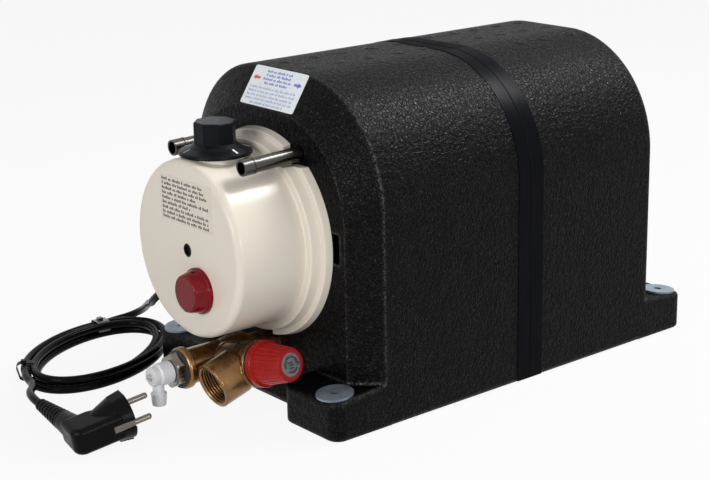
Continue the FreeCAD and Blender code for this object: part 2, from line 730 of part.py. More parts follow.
def make_water_pipes():
    """Hot outlet on the left, bent up inside the tank, and cold inlet on the right, bent down."""
    for side, name, rise in ((-1, "hot_outlet_pipe", 8.0), (1, "cold_inlet_pipe", -150.0)):
        tip = pipe_point(side, PIPE_END_Y)
        along = pipe_direction()
        bend = pipe_point(side, PIPE_INSIDE_Y)
        turn = 1 if rise > 0 else -1
        inner_end = bend + UP * (turn * PIPE_INNER_BEND * 0.75 + (rise if rise < 0 else 0))
        wire = bent(tip, bend, inner_end, PIPE_INNER_BEND * 0.7)
        solid = swept(wire, PIPE_RADIUS, tip, NORTH).cut(swept(wire, PIPE_BORE, tip, NORTH))
        collar = pipe(tip, along * -1, PIPE_COLLAR_LENGTH, PIPE_COLLAR_RADIUS, PIPE_BORE + 0.5)
        bead_start = tip - along * (PIPE_COLLAR_LENGTH + 1.0)
        bead = pipe(bead_start, along * -1, PIPE_BEAD_LENGTH, PIPE_COLLAR_RADIUS, PIPE_BORE + 0.5)
        save(name, join([solid, collar, bead]))


def bent(start, corner, end, radius):
    """One rounded corner between two straight runs."""
    back = (start - corner).normalize()
    ahead = (end - corner).normalize()
    half = back.getAngle(ahead) / 2
    reach = radius / math.tan(half)
    centre = corner + (back + ahead).normalize() * (radius / math.sin(half))
    middle = centre + (corner - centre).normalize() * radius
    first = corner + back * reach
    last = corner + ahead * reach
    return Part.Wire([Part.LineSegment(start, first).toShape(), Part.Arc(first, middle, last).toShape(),
                      Part.LineSegment(last, end).toShape()])


# Cover and what it carries

def cover_solid():
    centre = Vector(0, 0, TANK_AXIS_Z)
    back = -FRONT_FACE_Y
    front = -COVER_FACE_Y
    ring = -COVER_RING_FRONT_Y
    flange = -COVER_FLANGE_FRONT_Y
    outer = turned([(0, back), (COVER_FLANGE_RADIUS, back),
                    (COVER_FLANGE_RADIUS - COVER_FLANGE_TAPER, flange, 1.2), (COVER_RING_RADIUS, flange),
                    (COVER_RING_FRONT_RADIUS, ring, 1.5), (COVER_WALL_REAR_RADIUS, ring, 1.0),
                    (COVER_WALL_FRONT_RADIUS, front, COVER_EDGE_RADIUS), (0, front)], centre, SOUTH)
    pad = rod(Vector(0, KNOB_Y, TANK_AXIS_Z), UP, KNOB_PAD_Z - TANK_AXIS_Z, KNOB_PAD_RADIUS)
    gland_pad = rod(Vector(0, GLAND_Y, TANK_AXIS_Z), gland_direction(), GLAND_PAD, GLAND_PAD_RADIUS)
    outer = join([outer, pad, gland_pad])
    rear_bore = COVER_WALL_REAR_RADIUS - COVER_THICKNESS
    front_bore = COVER_WALL_FRONT_RADIUS - COVER_THICKNESS
    hollow = turned([(0, back - 1), (rear_bore, back - 1),
                     (front_bore, front - COVER_THICKNESS, COVER_EDGE_RADIUS - COVER_THICKNESS),
                     (0, front - COVER_THICKNESS)], centre, SOUTH)
    groove = turned([(COVER_WALL_REAR_RADIUS, back - 1), (COVER_RING_RADIUS - COVER_THICKNESS, back - 1),
                     (COVER_RING_FRONT_RADIUS - COVER_THICKNESS, ring - COVER_THICKNESS),
                     (COVER_WALL_REAR_RADIUS, ring - COVER_THICKNESS)], centre, SOUTH)
    return outer.cut(hollow).cut(groove)


def make_cover():
    cover = cover_solid()
    depth = (COVER_RING_FRONT_Y - 1, FRONT_FACE_Y + 1)
    for side in (-1, 1):
        far = COVER_FLANGE_RADIUS
        x_range = (PIPE_NOTCH_INNER_X, far) if side > 0 else (-far, -PIPE_NOTCH_INNER_X)
        cover = cover.cut(block(x_range, depth, (PIPE_NOTCH_Z, PIPE_NOTCH_Z + 40)))
    stub_gap = rod(Vector(0, FRONT_FACE_Y + 1, VALVE_Z), SOUTH, 30, STUB_NOTCH_X)
    cover = cover.cut(stub_gap)
    cover = cover.cut(block((-STUB_NOTCH_X + 1, STUB_NOTCH_X), depth, (VALVE_Z, STUB_NOTCH_TOP_Z)))
    cover = cover.cut(rod(Vector(0, KNOB_Y, KNOB_PAD_Z - 20), UP, 30, BUSH_RADIUS + 0.4))
    cover = cover.cut(rod(Vector(RESET_X, COVER_FACE_Y - 1, TANK_AXIS_Z), NORTH, 10, RESET_HOLE_RADIUS))
    cover = cover.cut(rod(Vector(LAMP_X, COVER_FACE_Y - 1, LAMP_Z), NORTH, 10, LAMP_HOLDER_RADIUS + 0.3))
    gland_hole = rod(Vector(0, GLAND_Y, TANK_AXIS_Z), gland_direction(), 90, GLAND_THREAD_RADIUS + 0.2)
    save("cover", cover.cut(gland_hole))


def make_thermostat():
    middle_y = KNOB_Y
    half_width = THERMOSTAT_WIDTH / 2
    half_depth = THERMOSTAT_DEPTH / 2
    body = block((-half_width, half_width), (middle_y - half_depth, middle_y + half_depth),
                 (THERMOSTAT_BOTTOM_Z, THERMOSTAT_TOP_Z))
    upright = [edge for edge in body.Edges if edge.BoundBox.ZLength > 10]
    body = body.makeFillet(3, upright)
    bush = rod(Vector(0, middle_y, THERMOSTAT_TOP_Z - 1), UP, KNOB_PAD_Z - THERMOSTAT_TOP_Z, BUSH_RADIUS)
    shaft_bore = rod(Vector(0, middle_y, SHAFT_BOTTOM_Z - 0.4), UP, 60, SHAFT_RADIUS + FIT_CLEARANCE)
    save("thermostat_body", body.fuse(bush).cut(shaft_bore))
    shaft = rod(Vector(0, middle_y, SHAFT_BOTTOM_Z), UP, SHAFT_TOP_Z - SHAFT_BOTTOM_Z, SHAFT_RADIUS)
    save("thermostat_shaft", shaft)


def make_knob():
    bottom = KNOB_PAD_Z + KNOB_GAP
    centre = Vector(0, KNOB_Y, 0)
    skirt = turned([(0, bottom), (KNOB_SKIRT_RADIUS, bottom, 0.8),
                    (KNOB_SKIRT_RADIUS - 0.6, bottom + KNOB_SKIRT_HEIGHT, 1.0),
                    (KNOB_GRIP_RADIUS + 4.5, bottom + KNOB_SKIRT_HEIGHT + 2.6, 6.0),
                    (KNOB_GRIP_RADIUS, KNOB_GRIP_FOOT_Z), (0, KNOB_GRIP_FOOT_Z)], centre, UP)
    grip = regular_prism(KNOB_GRIP_SIDES, KNOB_GRIP_RADIUS, Vector(0, KNOB_Y, bottom + 2), UP,
                         KNOB_TOP_Z - bottom - 2, 360 / KNOB_GRIP_SIDES / 2)
    top_edges = [edge for edge in grip.Edges if edge.BoundBox.ZMin > KNOB_TOP_Z - 0.1]
    grip = grip.makeChamfer(0.7, top_edges)
    socket = rod(Vector(0, KNOB_Y, bottom - 1), UP, SHAFT_TOP_Z - bottom + 1.2, SHAFT_RADIUS + FIT_CLEARANCE)
    save("knob", skirt.fuse(grip).cut(socket))


def make_cutout():
    centre = Vector(RESET_X, 0, TANK_AXIS_Z)
    bore = RESET_BUTTON_RADIUS + FIT_CLEARANCE
    seat_y = RESET_FACE_Y + RESET_LENGTH + RESET_TRAVEL
    body = rod(centre + NORTH * CUTOUT_FRONT_Y, NORTH, DROP_PLATE_Y - CUTOUT_FRONT_Y, CUTOUT_RADIUS)
    nose = rod(centre + NORTH * CUTOUT_NOSE_Y, NORTH, CUTOUT_FRONT_Y - CUTOUT_NOSE_Y + 1, CUTOUT_NOSE_RADIUS)
    body = body.fuse(nose)
    bore_length = seat_y - CUTOUT_NOSE_Y + 1 + SEAT_GAP
    body = body.cut(rod(centre + NORTH * (CUTOUT_NOSE_Y - 1), NORTH, bore_length, bore))
    save("thermal_cutout", body)
    button = turned([(0, 0), (RESET_BUTTON_RADIUS, 0), (RESET_BUTTON_RADIUS, RESET_LENGTH, 0.8),
                     (0, RESET_LENGTH)],
                    centre + NORTH * (RESET_FACE_Y + RESET_LENGTH), SOUTH)
    save("reset_button", button)


def make_lamp():
    centre = Vector(LAMP_X, 0, LAMP_Z)
    back = -COVER_FACE_Y
    ring = back + LAMP_RING_THICKNESS
    front = -LAMP_FRONT_Y
    bore = LAMP_HOLDER_RADIUS + FIT_CLEARANCE
    lens = turned([(bore, back), (LAMP_RING_RADIUS, back), (LAMP_RING_RADIUS, ring, 0.8),
                   (LAMP_LENS_RADIUS, ring), (LAMP_FRONT_RADIUS, front, 1.8), (0, front),
                   (0, front - LAMP_WALL), (bore, front - LAMP_WALL - 1)], centre, SOUTH)
    save("lamp_lens", lens)
    holder_front = back + LAMP_RING_THICKNESS + 0.5
    holder = rod(centre + NORTH * LAMP_HOLDER_REAR_Y, SOUTH, holder_front + LAMP_HOLDER_REAR_Y,
                 LAMP_HOLDER_RADIUS)
    nut = pipe(centre + NORTH * (COVER_FACE_Y + COVER_THICKNESS + 4), SOUTH, 4,
               LAMP_HOLDER_RADIUS + 4, LAMP_HOLDER_RADIUS - 1)
    glass_bore = rod(centre + NORTH * LAMP_HOLDER_REAR_Y, SOUTH, 60, BULB_GLASS_RADIUS + FIT_CLEARANCE)
    save("lamp_holder", holder.fuse(nut).cut(glass_bore))
    glass_length = -BULB_GLASS_FRONT_Y + LAMP_HOLDER_REAR_Y
    glass = turned([(0, 0), (BULB_GLASS_RADIUS, 0), (BULB_GLASS_RADIUS, glass_length, 3.0),
                    (0, glass_length)],
                   centre + NORTH * LAMP_HOLDER_REAR_Y, SOUTH)
    save("neon_lamp", glass)


def make_bracket():
    """Folded strip from the flange plate: side cheeks, a shelf for the thermostat and a drop plate."""
    plate_front = flange_stack()[3]
    shelf_top = THERMOSTAT_BOTTOM_Z
    shelf_bottom = shelf_top - BRACKET_THICKNESS
    half = BRACKET_HALF_WIDTH
    shelf = block((-half, half), (BRACKET_FRONT_Y, plate_front), (shelf_bottom, shelf_top))
    foot = block((-half, half), (plate_front - BRACKET_THICKNESS, plate_front),
                 (shelf_top - 1, shelf_top + 12))
    drop = block((-half, half), (DROP_PLATE_Y, DROP_PLATE_Y + BRACKET_THICKNESS),
                 (DROP_PLATE_BOTTOM_Z, shelf_bottom + 1))
    bracket = join([shelf, foot, drop])
    slot = block((-3, 3), (POCKET_MOUTH_Y - 28, POCKET_MOUTH_Y - 6), (shelf_bottom - 1, shelf_top + 1))
    lamp_gap = rod(Vector(LAMP_X, DROP_PLATE_Y - 1, LAMP_Z), NORTH, 5, LAMP_HOLDER_RADIUS + 1)
    save("mounting_bracket", bracket.cut(slot).cut(lamp_gap))
    front = DROP_PLATE_Y + BRACKET_THICKNESS
    block_body = block((-TERMINAL_WIDTH / 2, TERMINAL_WIDTH / 2), (front, front + TERMINAL_DEPTH),
                       (TERMINAL_BOTTOM_Z, TERMINAL_BOTTOM_Z + TERMINAL_HEIGHT))
    pitch = TERMINAL_WIDTH / TERMINAL_WAYS
    for way in range(TERMINAL_WAYS):
        x = -TERMINAL_WIDTH / 2 + pitch * (way + 0.5)
        wire_way = rod(Vector(x, front + TERMINAL_DEPTH / 2, TERMINAL_BOTTOM_Z - 1), UP,
                       TERMINAL_HEIGHT + 2, 2.6)
        screw_way = rod(Vector(x, front + TERMINAL_DEPTH + 1, TERMINAL_BOTTOM_Z + TERMINAL_HEIGHT / 2),
                        SOUTH, TERMINAL_DEPTH / 2, 2.2)
        block_body = block_body.cut(wire_way).cut(screw_way)
    save("terminal_block", block_body)


def gland_direction():
    angle = math.radians(GLAND_ANGLE_DEG)
    return Vector(math.cos(angle), 0, math.sin(angle))


def gland_point(distance):
    return Vector(0, GLAND_Y, TANK_AXIS_Z) + gland_direction() * distance


def make_gland():
    along = gland_direction()
    corner = GLAND_NUT_FLATS / 2 / math.cos(math.pi / 6)
    nut = regular_prism(6, corner, gland_point(GLAND_PAD), along, GLAND_NUT_LENGTH, 15)
    dome = turned([(0, GLAND_NUT_LENGTH), (GLAND_DOME_RADIUS, GLAND_NUT_LENGTH),
                   (GLAND_DOME_RADIUS, 15), (GLAND_TIP_RADIUS, GLAND_TIP - GLAND_PAD, 2.0),
                   (0, GLAND_TIP - GLAND_PAD)], gland_point(GLAND_PAD), along)
    thread = rod(gland_point(GLAND_INNER_END), along, GLAND_PAD - GLAND_INNER_END + 1, GLAND_THREAD_RADIUS)
    lock_start = COVER_WALL_REAR_RADIUS - COVER_THICKNESS - LOCK_NUT_THICKNESS - 1.4
    lock = regular_prism(6, corner * 0.95, gland_point(lock_start), along, LOCK_NUT_THICKNESS, 15)
    save("cable_gland", join([nut, dome, thread, lock]))


# Drain valve

def relief_direction():
    turn = math.radians(RELIEF_TURN_DEG)
    rise = math.radians(RELIEF_RISE_DEG)
    return Vector(math.cos(turn) * math.cos(rise), math.sin(turn) * math.cos(rise), math.sin(rise))


def relief_point(distance):
    return Vector(BARREL_X, BARREL_Y, BARREL_Z) + relief_direction() * distance


def port_direction():
    angle = math.radians(PORT_TILT_DEG)
    return Vector(0, -math.cos(angle), -math.sin(angle))


def make_drain_fitting():
    """Elbow from the tank head down to the valve, with one through passage."""
    form = drain_form(0)
    passage = join([rod(Vector(0, RISER_Y, VALVE_Z), SOUTH, 80, STUB_BORE),
                    rod(Vector(0, RISER_Y, VALVE_Z), UP, RISER_TOP_Z - VALVE_Z, STUB_BORE),
                    Part.makeSphere(STUB_BORE, Vector(0, RISER_Y, RISER_TOP_Z)),
                    rod(Vector(0, RISER_Y, RISER_TOP_Z), NORTH, 40, STUB_BORE)])
    trim = block((-20, 20), (-TANK_HALF_LENGTH, PIPE_INSIDE_Y), (30, 90))
    save("drain_fitting", form.cut(passage).cut(trim).cut(valve_form()))


def valve_form():
    """Outside of the cast valve body: the main tube, the relief barrel and the port."""
    rear = -BODY_REAR_Y
    front = -BODY_FRONT_Y
    main = turned([(0, rear), (BODY_REAR_RADIUS, rear, 4.0), (BODY_REAR_RADIUS, rear + 16),
                   (BODY_FRONT_RADIUS, rear + 26), (BODY_FRONT_RADIUS, front), (0, front)],
                  Vector(0, 0, VALVE_Z), SOUTH)
    along = relief_direction()
    barrel = turned([(0, -BARREL_BACK), (BARREL_RADIUS, -BARREL_BACK, 5.0),
                     (BARREL_RADIUS, -22), (BARREL_RIDGE_RADIUS, -21), (BARREL_RIDGE_RADIUS, -19),
                     (BARREL_RADIUS, -18), (BARREL_RADIUS, 8), (NECK_RADIUS, 10),
                     (NECK_RADIUS, NECK_RING_START), (NECK_RING_RADIUS, NECK_RING_START),
                     (NECK_RING_RADIUS, NECK_RING_END), (0, NECK_RING_END)], relief_point(0), along)
    mouth = Vector(PORT_MOUTH_X, PORT_MOUTH_Y, PORT_MOUTH_Z)
    inward = port_direction() * -1
    port = turned([(0, 0), (PORT_RADIUS, 0, 1.0), (PORT_RADIUS, PORT_LENGTH - 3, 6.0),
                   (0, PORT_LENGTH - 3)], mouth, inward)
    spot_length = (PORT_MOUTH_Y - BODY_FRONT_Y - 0.2) / math.cos(math.radians(PORT_TILT_DEG))
    spot_face = rod(mouth, port_direction(), spot_length, PORT_RADIUS + SPOT_FACE_MARGIN)
    return join([main, barrel, port]).cut(spot_face)


def make_valve_body():
    along = relief_direction()
    mouth = Vector(PORT_MOUTH_X, PORT_MOUTH_Y, PORT_MOUTH_Z)
    inward = port_direction() * -1
    body = valve_form()
    body = body.cut(turned([(0, -1), (PORT_BORE + PORT_CHAMFER + 1, -1), (PORT_BORE, PORT_CHAMFER),
                            (PORT_BORE, PORT_BORE_DEPTH), (0, PORT_BORE_DEPTH + 2)], mouth, inward))
    body = body.cut(rod(mouth + along * OUTLET_OFFSET, inward, PORT_LENGTH, OUTLET_BORE))
    body = body.cut(rod(Vector(0, BODY_FRONT_Y - 1, VALVE_Z), NORTH, BODY_BORE_END_Y - BODY_FRONT_Y + 1,
                        BODY_BORE))
    body = body.cut(rod(Vector(0, BODY_BORE_END_Y, VALVE_Z), NORTH, 60, STUB_BORE))
    body = body.cut(rod(relief_point(-SEAT_GAP), along, 60, SEAT_BORE))
    body = body.cut(rod(relief_point(-INLET_SETBACK), along, INLET_SETBACK, INLET_BORE))
    save("valve_body", body)


def make_relief_valve():
    along = relief_direction()
    seal = pipe(relief_point(NECK_RING_END), along, SEAL_END - NECK_RING_END, NECK_RADIUS + 1, SEAT_BORE + 3)
    save("bonnet_seal", seal.cut(valve_form()))
    cap = turned([(0, 0), (CAP_FLANGE_RADIUS, 0, 1.0), (CAP_FLANGE_RADIUS, CAP_FLANGE_END - CAP_START, 1.2),
                  (CAP_CONE_RADIUS, CAP_FLANGE_END - CAP_START), (CAP_FRONT_RADIUS, CAP_END - CAP_START, 1.5),
                  (0, CAP_END - CAP_START)], relief_point(CAP_START), along)
    grooves = []
    slant = CAP_CONE_RADIUS - CAP_FRONT_RADIUS
    rib_length = CAP_END - CAP_FLANGE_END
    first = along.cross(UP).normalize()
    second = along.cross(first).normalize()
    for index in range(CAP_RIB_COUNT):
        angle = 2 * math.pi * index / CAP_RIB_COUNT
        out = first * math.cos(angle) + second * math.sin(angle)
        start = relief_point(CAP_FLANGE_END + 1.5) + out * (CAP_CONE_RADIUS + 0.7)
        heading = along * rib_length - out * slant
        grooves.append(rod(start, heading, rib_length, CAP_RIB_DEPTH + 0.7))
    cap = cap.cut(Part.makeCompound(grooves))
    cap = cap.cut(rod(relief_point(CAP_START - 1), along, CAP_END - CAP_START - 6, CAP_BORE))
    cap = cap.cut(rod(relief_point(CAP_END - CAP_DISC_THICKNESS), along, 5, CAP_DISC_RADIUS + FIT_CLEARANCE))
    save("relief_cap", cap)
    save("relief_cap_disc", rod(relief_point(CAP_END - CAP_DISC_THICKNESS), along, CAP_DISC_THICKNESS,
                                CAP_DISC_RADIUS))
    poppet = rod(relief_point(0), along, POPPET_THICKNESS, POPPET_RADIUS)
    guide = rod(relief_point(0), along, CAP_END - 14, STEM_RADIUS)
    save("relief_stem", poppet.fuse(guide))
    lid_end = SPRING_END + BONNET_LID
    socket = SEAT_BORE - FIT_CLEARANCE
    spigot = CAP_BORE - FIT_CLEARANCE
    bonnet = turned([(STEM_RADIUS + FIT_CLEARANCE, SPRING_END), (socket - BONNET_WALL, SPRING_END),
                     (socket - BONNET_WALL, BONNET_START), (socket, BONNET_START),
                     (socket, CAP_START), (spigot, CAP_START), (spigot, lid_end, 1.0),
                     (STEM_RADIUS + FIT_CLEARANCE, lid_end)], relief_point(0), along)
    save("relief_bonnet", bonnet)
    save("relief_spring", spring_solid(along, first, second))


def spring_solid(along, first, second):
    """Open coil spring round the stem, wound from quarter-turn arcs."""
    pitch = (SPRING_END - SPRING_START - 2 * SPRING_WIRE - 0.6) / SPRING_TURNS
    start_at = SPRING_START + SPRING_WIRE + 0.3

    def place(turn):
        angle = 2 * math.pi * turn
        out = first * math.cos(angle) + second * math.sin(angle)
        return relief_point(start_at + pitch * turn) + out * SPRING_RADIUS

    def heading(turn):
        return (place(turn + 1e-4) - place(turn - 1e-4)).normalize()

    edges = []
    steps = SPRING_TURNS * 4
    for step in range(steps):
        near = step / 4
        far = (step + 1) / 4
        edges += biarc(place(near), heading(near), place(far), heading(far))
    return swept(Part.Wire(edges), SPRING_WIRE, place(0), heading(0))


def make_vent():
    collar_start = Vector(0, BODY_FRONT_Y, VALVE_Z)
    collar = turned([(6.6, 0), (COLLAR_RADIUS, 0, 1.0), (COLLAR_RADIUS, COLLAR_LENGTH, 2.4),
                     (6.6, COLLAR_LENGTH)], collar_start, SOUTH)
    save("vent_collar", collar)
    gasket_y = BODY_FRONT_Y - COLLAR_LENGTH
    gasket = pipe(Vector(0, gasket_y, VALVE_Z), SOUTH, VENT_GASKET_THICKNESS, VENT_GASKET_RADIUS, 6.6)
    save("vent_gasket", gasket)
    hex_y = gasket_y - VENT_GASKET_THICKNESS
    corner = HEX_ACROSS_FLATS / 2 / math.cos(math.pi / 6)
    hexagon = regular_prism(6, corner, Vector(0, hex_y, VALVE_Z), SOUTH, HEX_LENGTH, 30)
    rounding = turned([(0, 0), (corner - 0.4, 0), (corner, 1.2), (corner, HEX_LENGTH - 1.2),
                       (corner - 1.0, HEX_LENGTH), (0, HEX_LENGTH)], Vector(0, hex_y, VALVE_Z), SOUTH)
    shank = rod(Vector(0, hex_y, VALVE_Z), NORTH, 20, 6.5)
    seat = rod(Vector(0, hex_y + 21, VALVE_Z), SOUTH, 60, SPINDLE_RADIUS + FIT_CLEARANCE)
    save("vent_plug", hexagon.common(rounding).fuse(shank).cut(seat))
    rear_y = hex_y - HEX_LENGTH - NOZZLE_GAP
    length = rear_y - NOZZLE_FRONT_Y
    nozzle = turned([(0, 0), (NOZZLE_RADIUS, 0, 0.6), (NOZZLE_RADIUS, length * 0.62, 1.0),
                     (NOZZLE_RADIUS - 1.4, length * 0.68), (NOZZLE_RADIUS - 1.4, length, 0.8), (0, length)],
                    Vector(0, rear_y, VALVE_Z), SOUTH)
    neck = rod(Vector(0, SPOUT_Y, VALVE_Z), DOWN, VALVE_Z - SPOUT_BARB_Z + 1, SPOUT_NECK_RADIUS)
    barb = turned([(0, 0), (SPOUT_NECK_RADIUS, 0), (SPOUT_BARB_RADIUS, 1.6, 0.5),
                   (SPOUT_BARB_RADIUS - 0.9, SPOUT_BARB_Z - SPOUT_END_Z, 0.8),
                   (0, SPOUT_BARB_Z - SPOUT_END_Z)],
                  Vector(0, SPOUT_Y, SPOUT_BARB_Z), DOWN)
    nozzle = join([nozzle, neck, barb])
    nozzle = nozzle.cut(rod(Vector(0, rear_y + 1, VALVE_Z), SOUTH, 40, SPINDLE_RADIUS + FIT_CLEARANCE))
    nozzle = nozzle.cut(rod(Vector(0, SPOUT_Y, VALVE_Z - SPINDLE_RADIUS - 1), DOWN, 40, SPOUT_BORE))
    save("vent_nozzle", nozzle)
    spindle_rear = hex_y + 12
    spindle = rod(Vector(0, spindle_rear, VALVE_Z), SOUTH, spindle_rear - SPINDLE_FRONT_Y, SPINDLE_RADIUS)
    slot = block((-4, 4), (SPINDLE_FRONT_Y - 1, SPINDLE_FRONT_Y + 1.2), (VALVE_Z - 0.5, VALVE_Z + 0.5))
    save("vent_spindle", spindle.cut(slot))


# Mains cord

def coil_axes():
    angle = math.radians(COIL_TURN_DEG)
    long_axis = Vector(math.cos(angle), math.sin(angle), 0)
    return long_axis, UP.cross(long_axis)


def coil_place(degrees):
    """Centre of the cord in the coil; the winding spirals in, climbs a layer and spirals out."""
    long_axis, short_axis = coil_axes()
    turns = (degrees - COIL_REVERSE_DEG) / 360
    lane = LANE_INNER + LANE_PITCH * (math.hypot(turns, LANE_ROUNDING) - LANE_ROUNDING)
    climb = min(max(turns * 2 + 0.5, 0.0), 1.0)
    smooth = climb * climb * (3 - 2 * climb)
    angle = math.radians(degrees)
    flat = (long_axis * ((COIL_LONG_RADIUS + lane) * math.cos(angle))
            + short_axis * ((COIL_SHORT_RADIUS + lane) * math.sin(angle)))
    height = COIL_LIFT + CORD_RADIUS + LAYER_RISE * smooth
    return Vector(COIL_CENTRE_X, COIL_CENTRE_Y, height) + flat


def coil_heading(degrees):
    step = coil_place(degrees + 0.05) - coil_place(degrees - 0.05)
    if abs(degrees - COIL_REVERSE_DEG) > 80:
        step.z = 0
    return step.normalize()


def coil_arcs():
    """Arcs of the coil in order; the cord leaves part of the way round the last quarter turn."""
    quarters = int(COIL_LAST_QUARTER_DEG // 90)
    stops = [COIL_START_DEG] + [90 * quarter for quarter in range(1, quarters + 2)]
    edges = []
    for near, far in zip(stops, stops[1:]):
        edges += biarc(coil_place(near), coil_heading(near), coil_place(far), coil_heading(far))
    last = edges.pop()
    first = last.FirstParameter
    leave = first + (last.LastParameter - first) * COIL_LAST_SHARE
    edges.append(Part.Edge(last.Curve, first, leave))
    return edges


def coil_ends():
    """Places and headings where the free cord meets the coil, one straight diameter outside its arcs."""
    lead = 2 * CORD_RADIUS
    first_heading = coil_heading(COIL_START_DEG)
    last = coil_arcs()[-1]
    last_heading = last.tangentAt(last.LastParameter)
    start = coil_place(COIL_START_DEG) - first_heading * lead
    end = last.valueAt(last.LastParameter) + last_heading * lead
    return start, first_heading, end, last_heading


def make_coil():
    start, first_heading, end, last_heading = coil_ends()
    arcs = coil_arcs()
    leave = arcs[-1].valueAt(arcs[-1].LastParameter)
    edges = [Part.LineSegment(start, coil_place(COIL_START_DEG)).toShape()] + arcs
    edges.append(Part.LineSegment(leave, end).toShape())
    wire = Part.Wire(edges)
    tube = swept(wire, CORD_RADIUS, start, first_heading)
    print("coil leaves at", [round(value, 1) for value in leave], [round(value, 3) for value in last_heading])
    samples = wire.discretize(Distance=2.0)
    skip = 40
    least = min((a - b).Length for i, a in enumerate(samples) for b in samples[i + skip:])
    ratio = tube.Volume / (wire.Length * math.pi * CORD_RADIUS ** 2)
    print("coil length", round(wire.Length, 1), "volume ratio", round(ratio, 4),
          "least gap to itself", round(least - 2 * CORD_RADIUS, 2))
    save("cord_coil", tube)


def hull(points):
    """Corners of the tightest band round flat points."""
    ordered = sorted(set(points))
    chains = []
    for run in (ordered, ordered[::-1]):
        chain = []
        for here in run:
            while len(chain) > 1:
                first, second = chain[-2], chain[-1]
                turn = ((second[0] - first[0]) * (here[1] - first[1])
                        - (second[1] - first[1]) * (here[0] - first[0]))
                if turn > 0.2:
                    break
                chain.pop()
            chain.append(here)
        chains += chain[:-1]
    return chains


def make_ties():
    """Each tie is a flat band round the bundle of turns, with a ratchet head on top."""
    samples = [point for arc in coil_arcs() for point in arc.discretize(Distance=1.0)]
    for name, (degrees, width) in TIE_PLACES.items():
        along = coil_heading(degrees + 360)
        out = along.cross(UP).normalize()
        centre = coil_place(degrees + 360)
        near = [point - centre for point in samples if (point - centre).Length < COIL_SHORT_RADIUS / 2]
        inside = [offset for offset in near if abs(offset.dot(along)) < width / 2 + 1]
        core_points = hull([(offset.dot(out), centre.z + offset.z) for offset in inside])
        core = Part.Face(outline(core_points))
        hole = core.makeOffset2D(CORD_RADIUS + TIE_GAP).extrude(UP * (width + 2))
        hole.translate(DOWN)
        band = core.makeOffset2D(CORD_RADIUS + TIE_GAP + TIE_THICKNESS).extrude(UP * width).cut(hole)
        top = max(height for _, height in core_points)
        middle = max(distance for distance, height in core_points if height > top - 0.5)
        head_foot = top + CORD_RADIUS + TIE_GAP + TIE_THICKNESS / 2
        head = block((middle - TIE_HEAD, middle), (head_foot, head_foot + TIE_HEAD / 2),
                     (width / 2 - TIE_HEAD / 2, width / 2 + TIE_HEAD / 2))
        tie = band.fuse(head)
        flat = Vector(centre.x, centre.y, 0) + along * (width / 2)
        tie.Placement = Placement(FreeCAD.Matrix(out.x, 0, -along.x, flat.x, out.y, 0, -along.y, flat.y,
                                                 0, 1, 0, 0, 0, 0, 0, 1))
        save(name, tie)


def plug_frame():
    """Unit directions of the pins, of the cord square to them, and across the two pins."""
    pins = Vector(PLUG_PIN_DIRECTION).normalize()
    cord = Vector(PLUG_CORD_DIRECTION).normalize()
    across = pins.cross(cord).normalize()
    square = across.cross(pins).normalize()
    return pins, cord, across, square


def plug_point(along_pins, along_square=0.0, along_across=0.0):
    pins, _, across, square = plug_frame()
    return Vector(PLUG_X, PLUG_Y, PLUG_Z) + pins * along_pins + square * along_square + across * along_across


def plug_box(pins_range, square_range, across_range):
    """Box in the plug's own directions."""
    pins, _, across, square = plug_frame()
    box = block(square_range, across_range, pins_range)
    centre = plug_point(0)
    return box.transformGeometry(FreeCAD.Matrix(square.x, across.x, pins.x, centre.x,
                                                square.y, across.y, pins.y, centre.y,
                                                square.z, across.z, pins.z, centre.z, 0, 0, 0, 1))


def clip_slot(side, clearance):
    outer = PLUG_RIM_RADIUS + 1
    inner = PLUG_RIM_RADIUS - CLIP_SLOT_DEPTH
    half = CLIP_WIDTH / 2 + clearance
    square_range = (inner, outer) if side > 0 else (-outer, -inner)
    return plug_box((PLUG_FACE - CLIP_LENGTH, PLUG_FACE + 1), square_range, (-half, half))


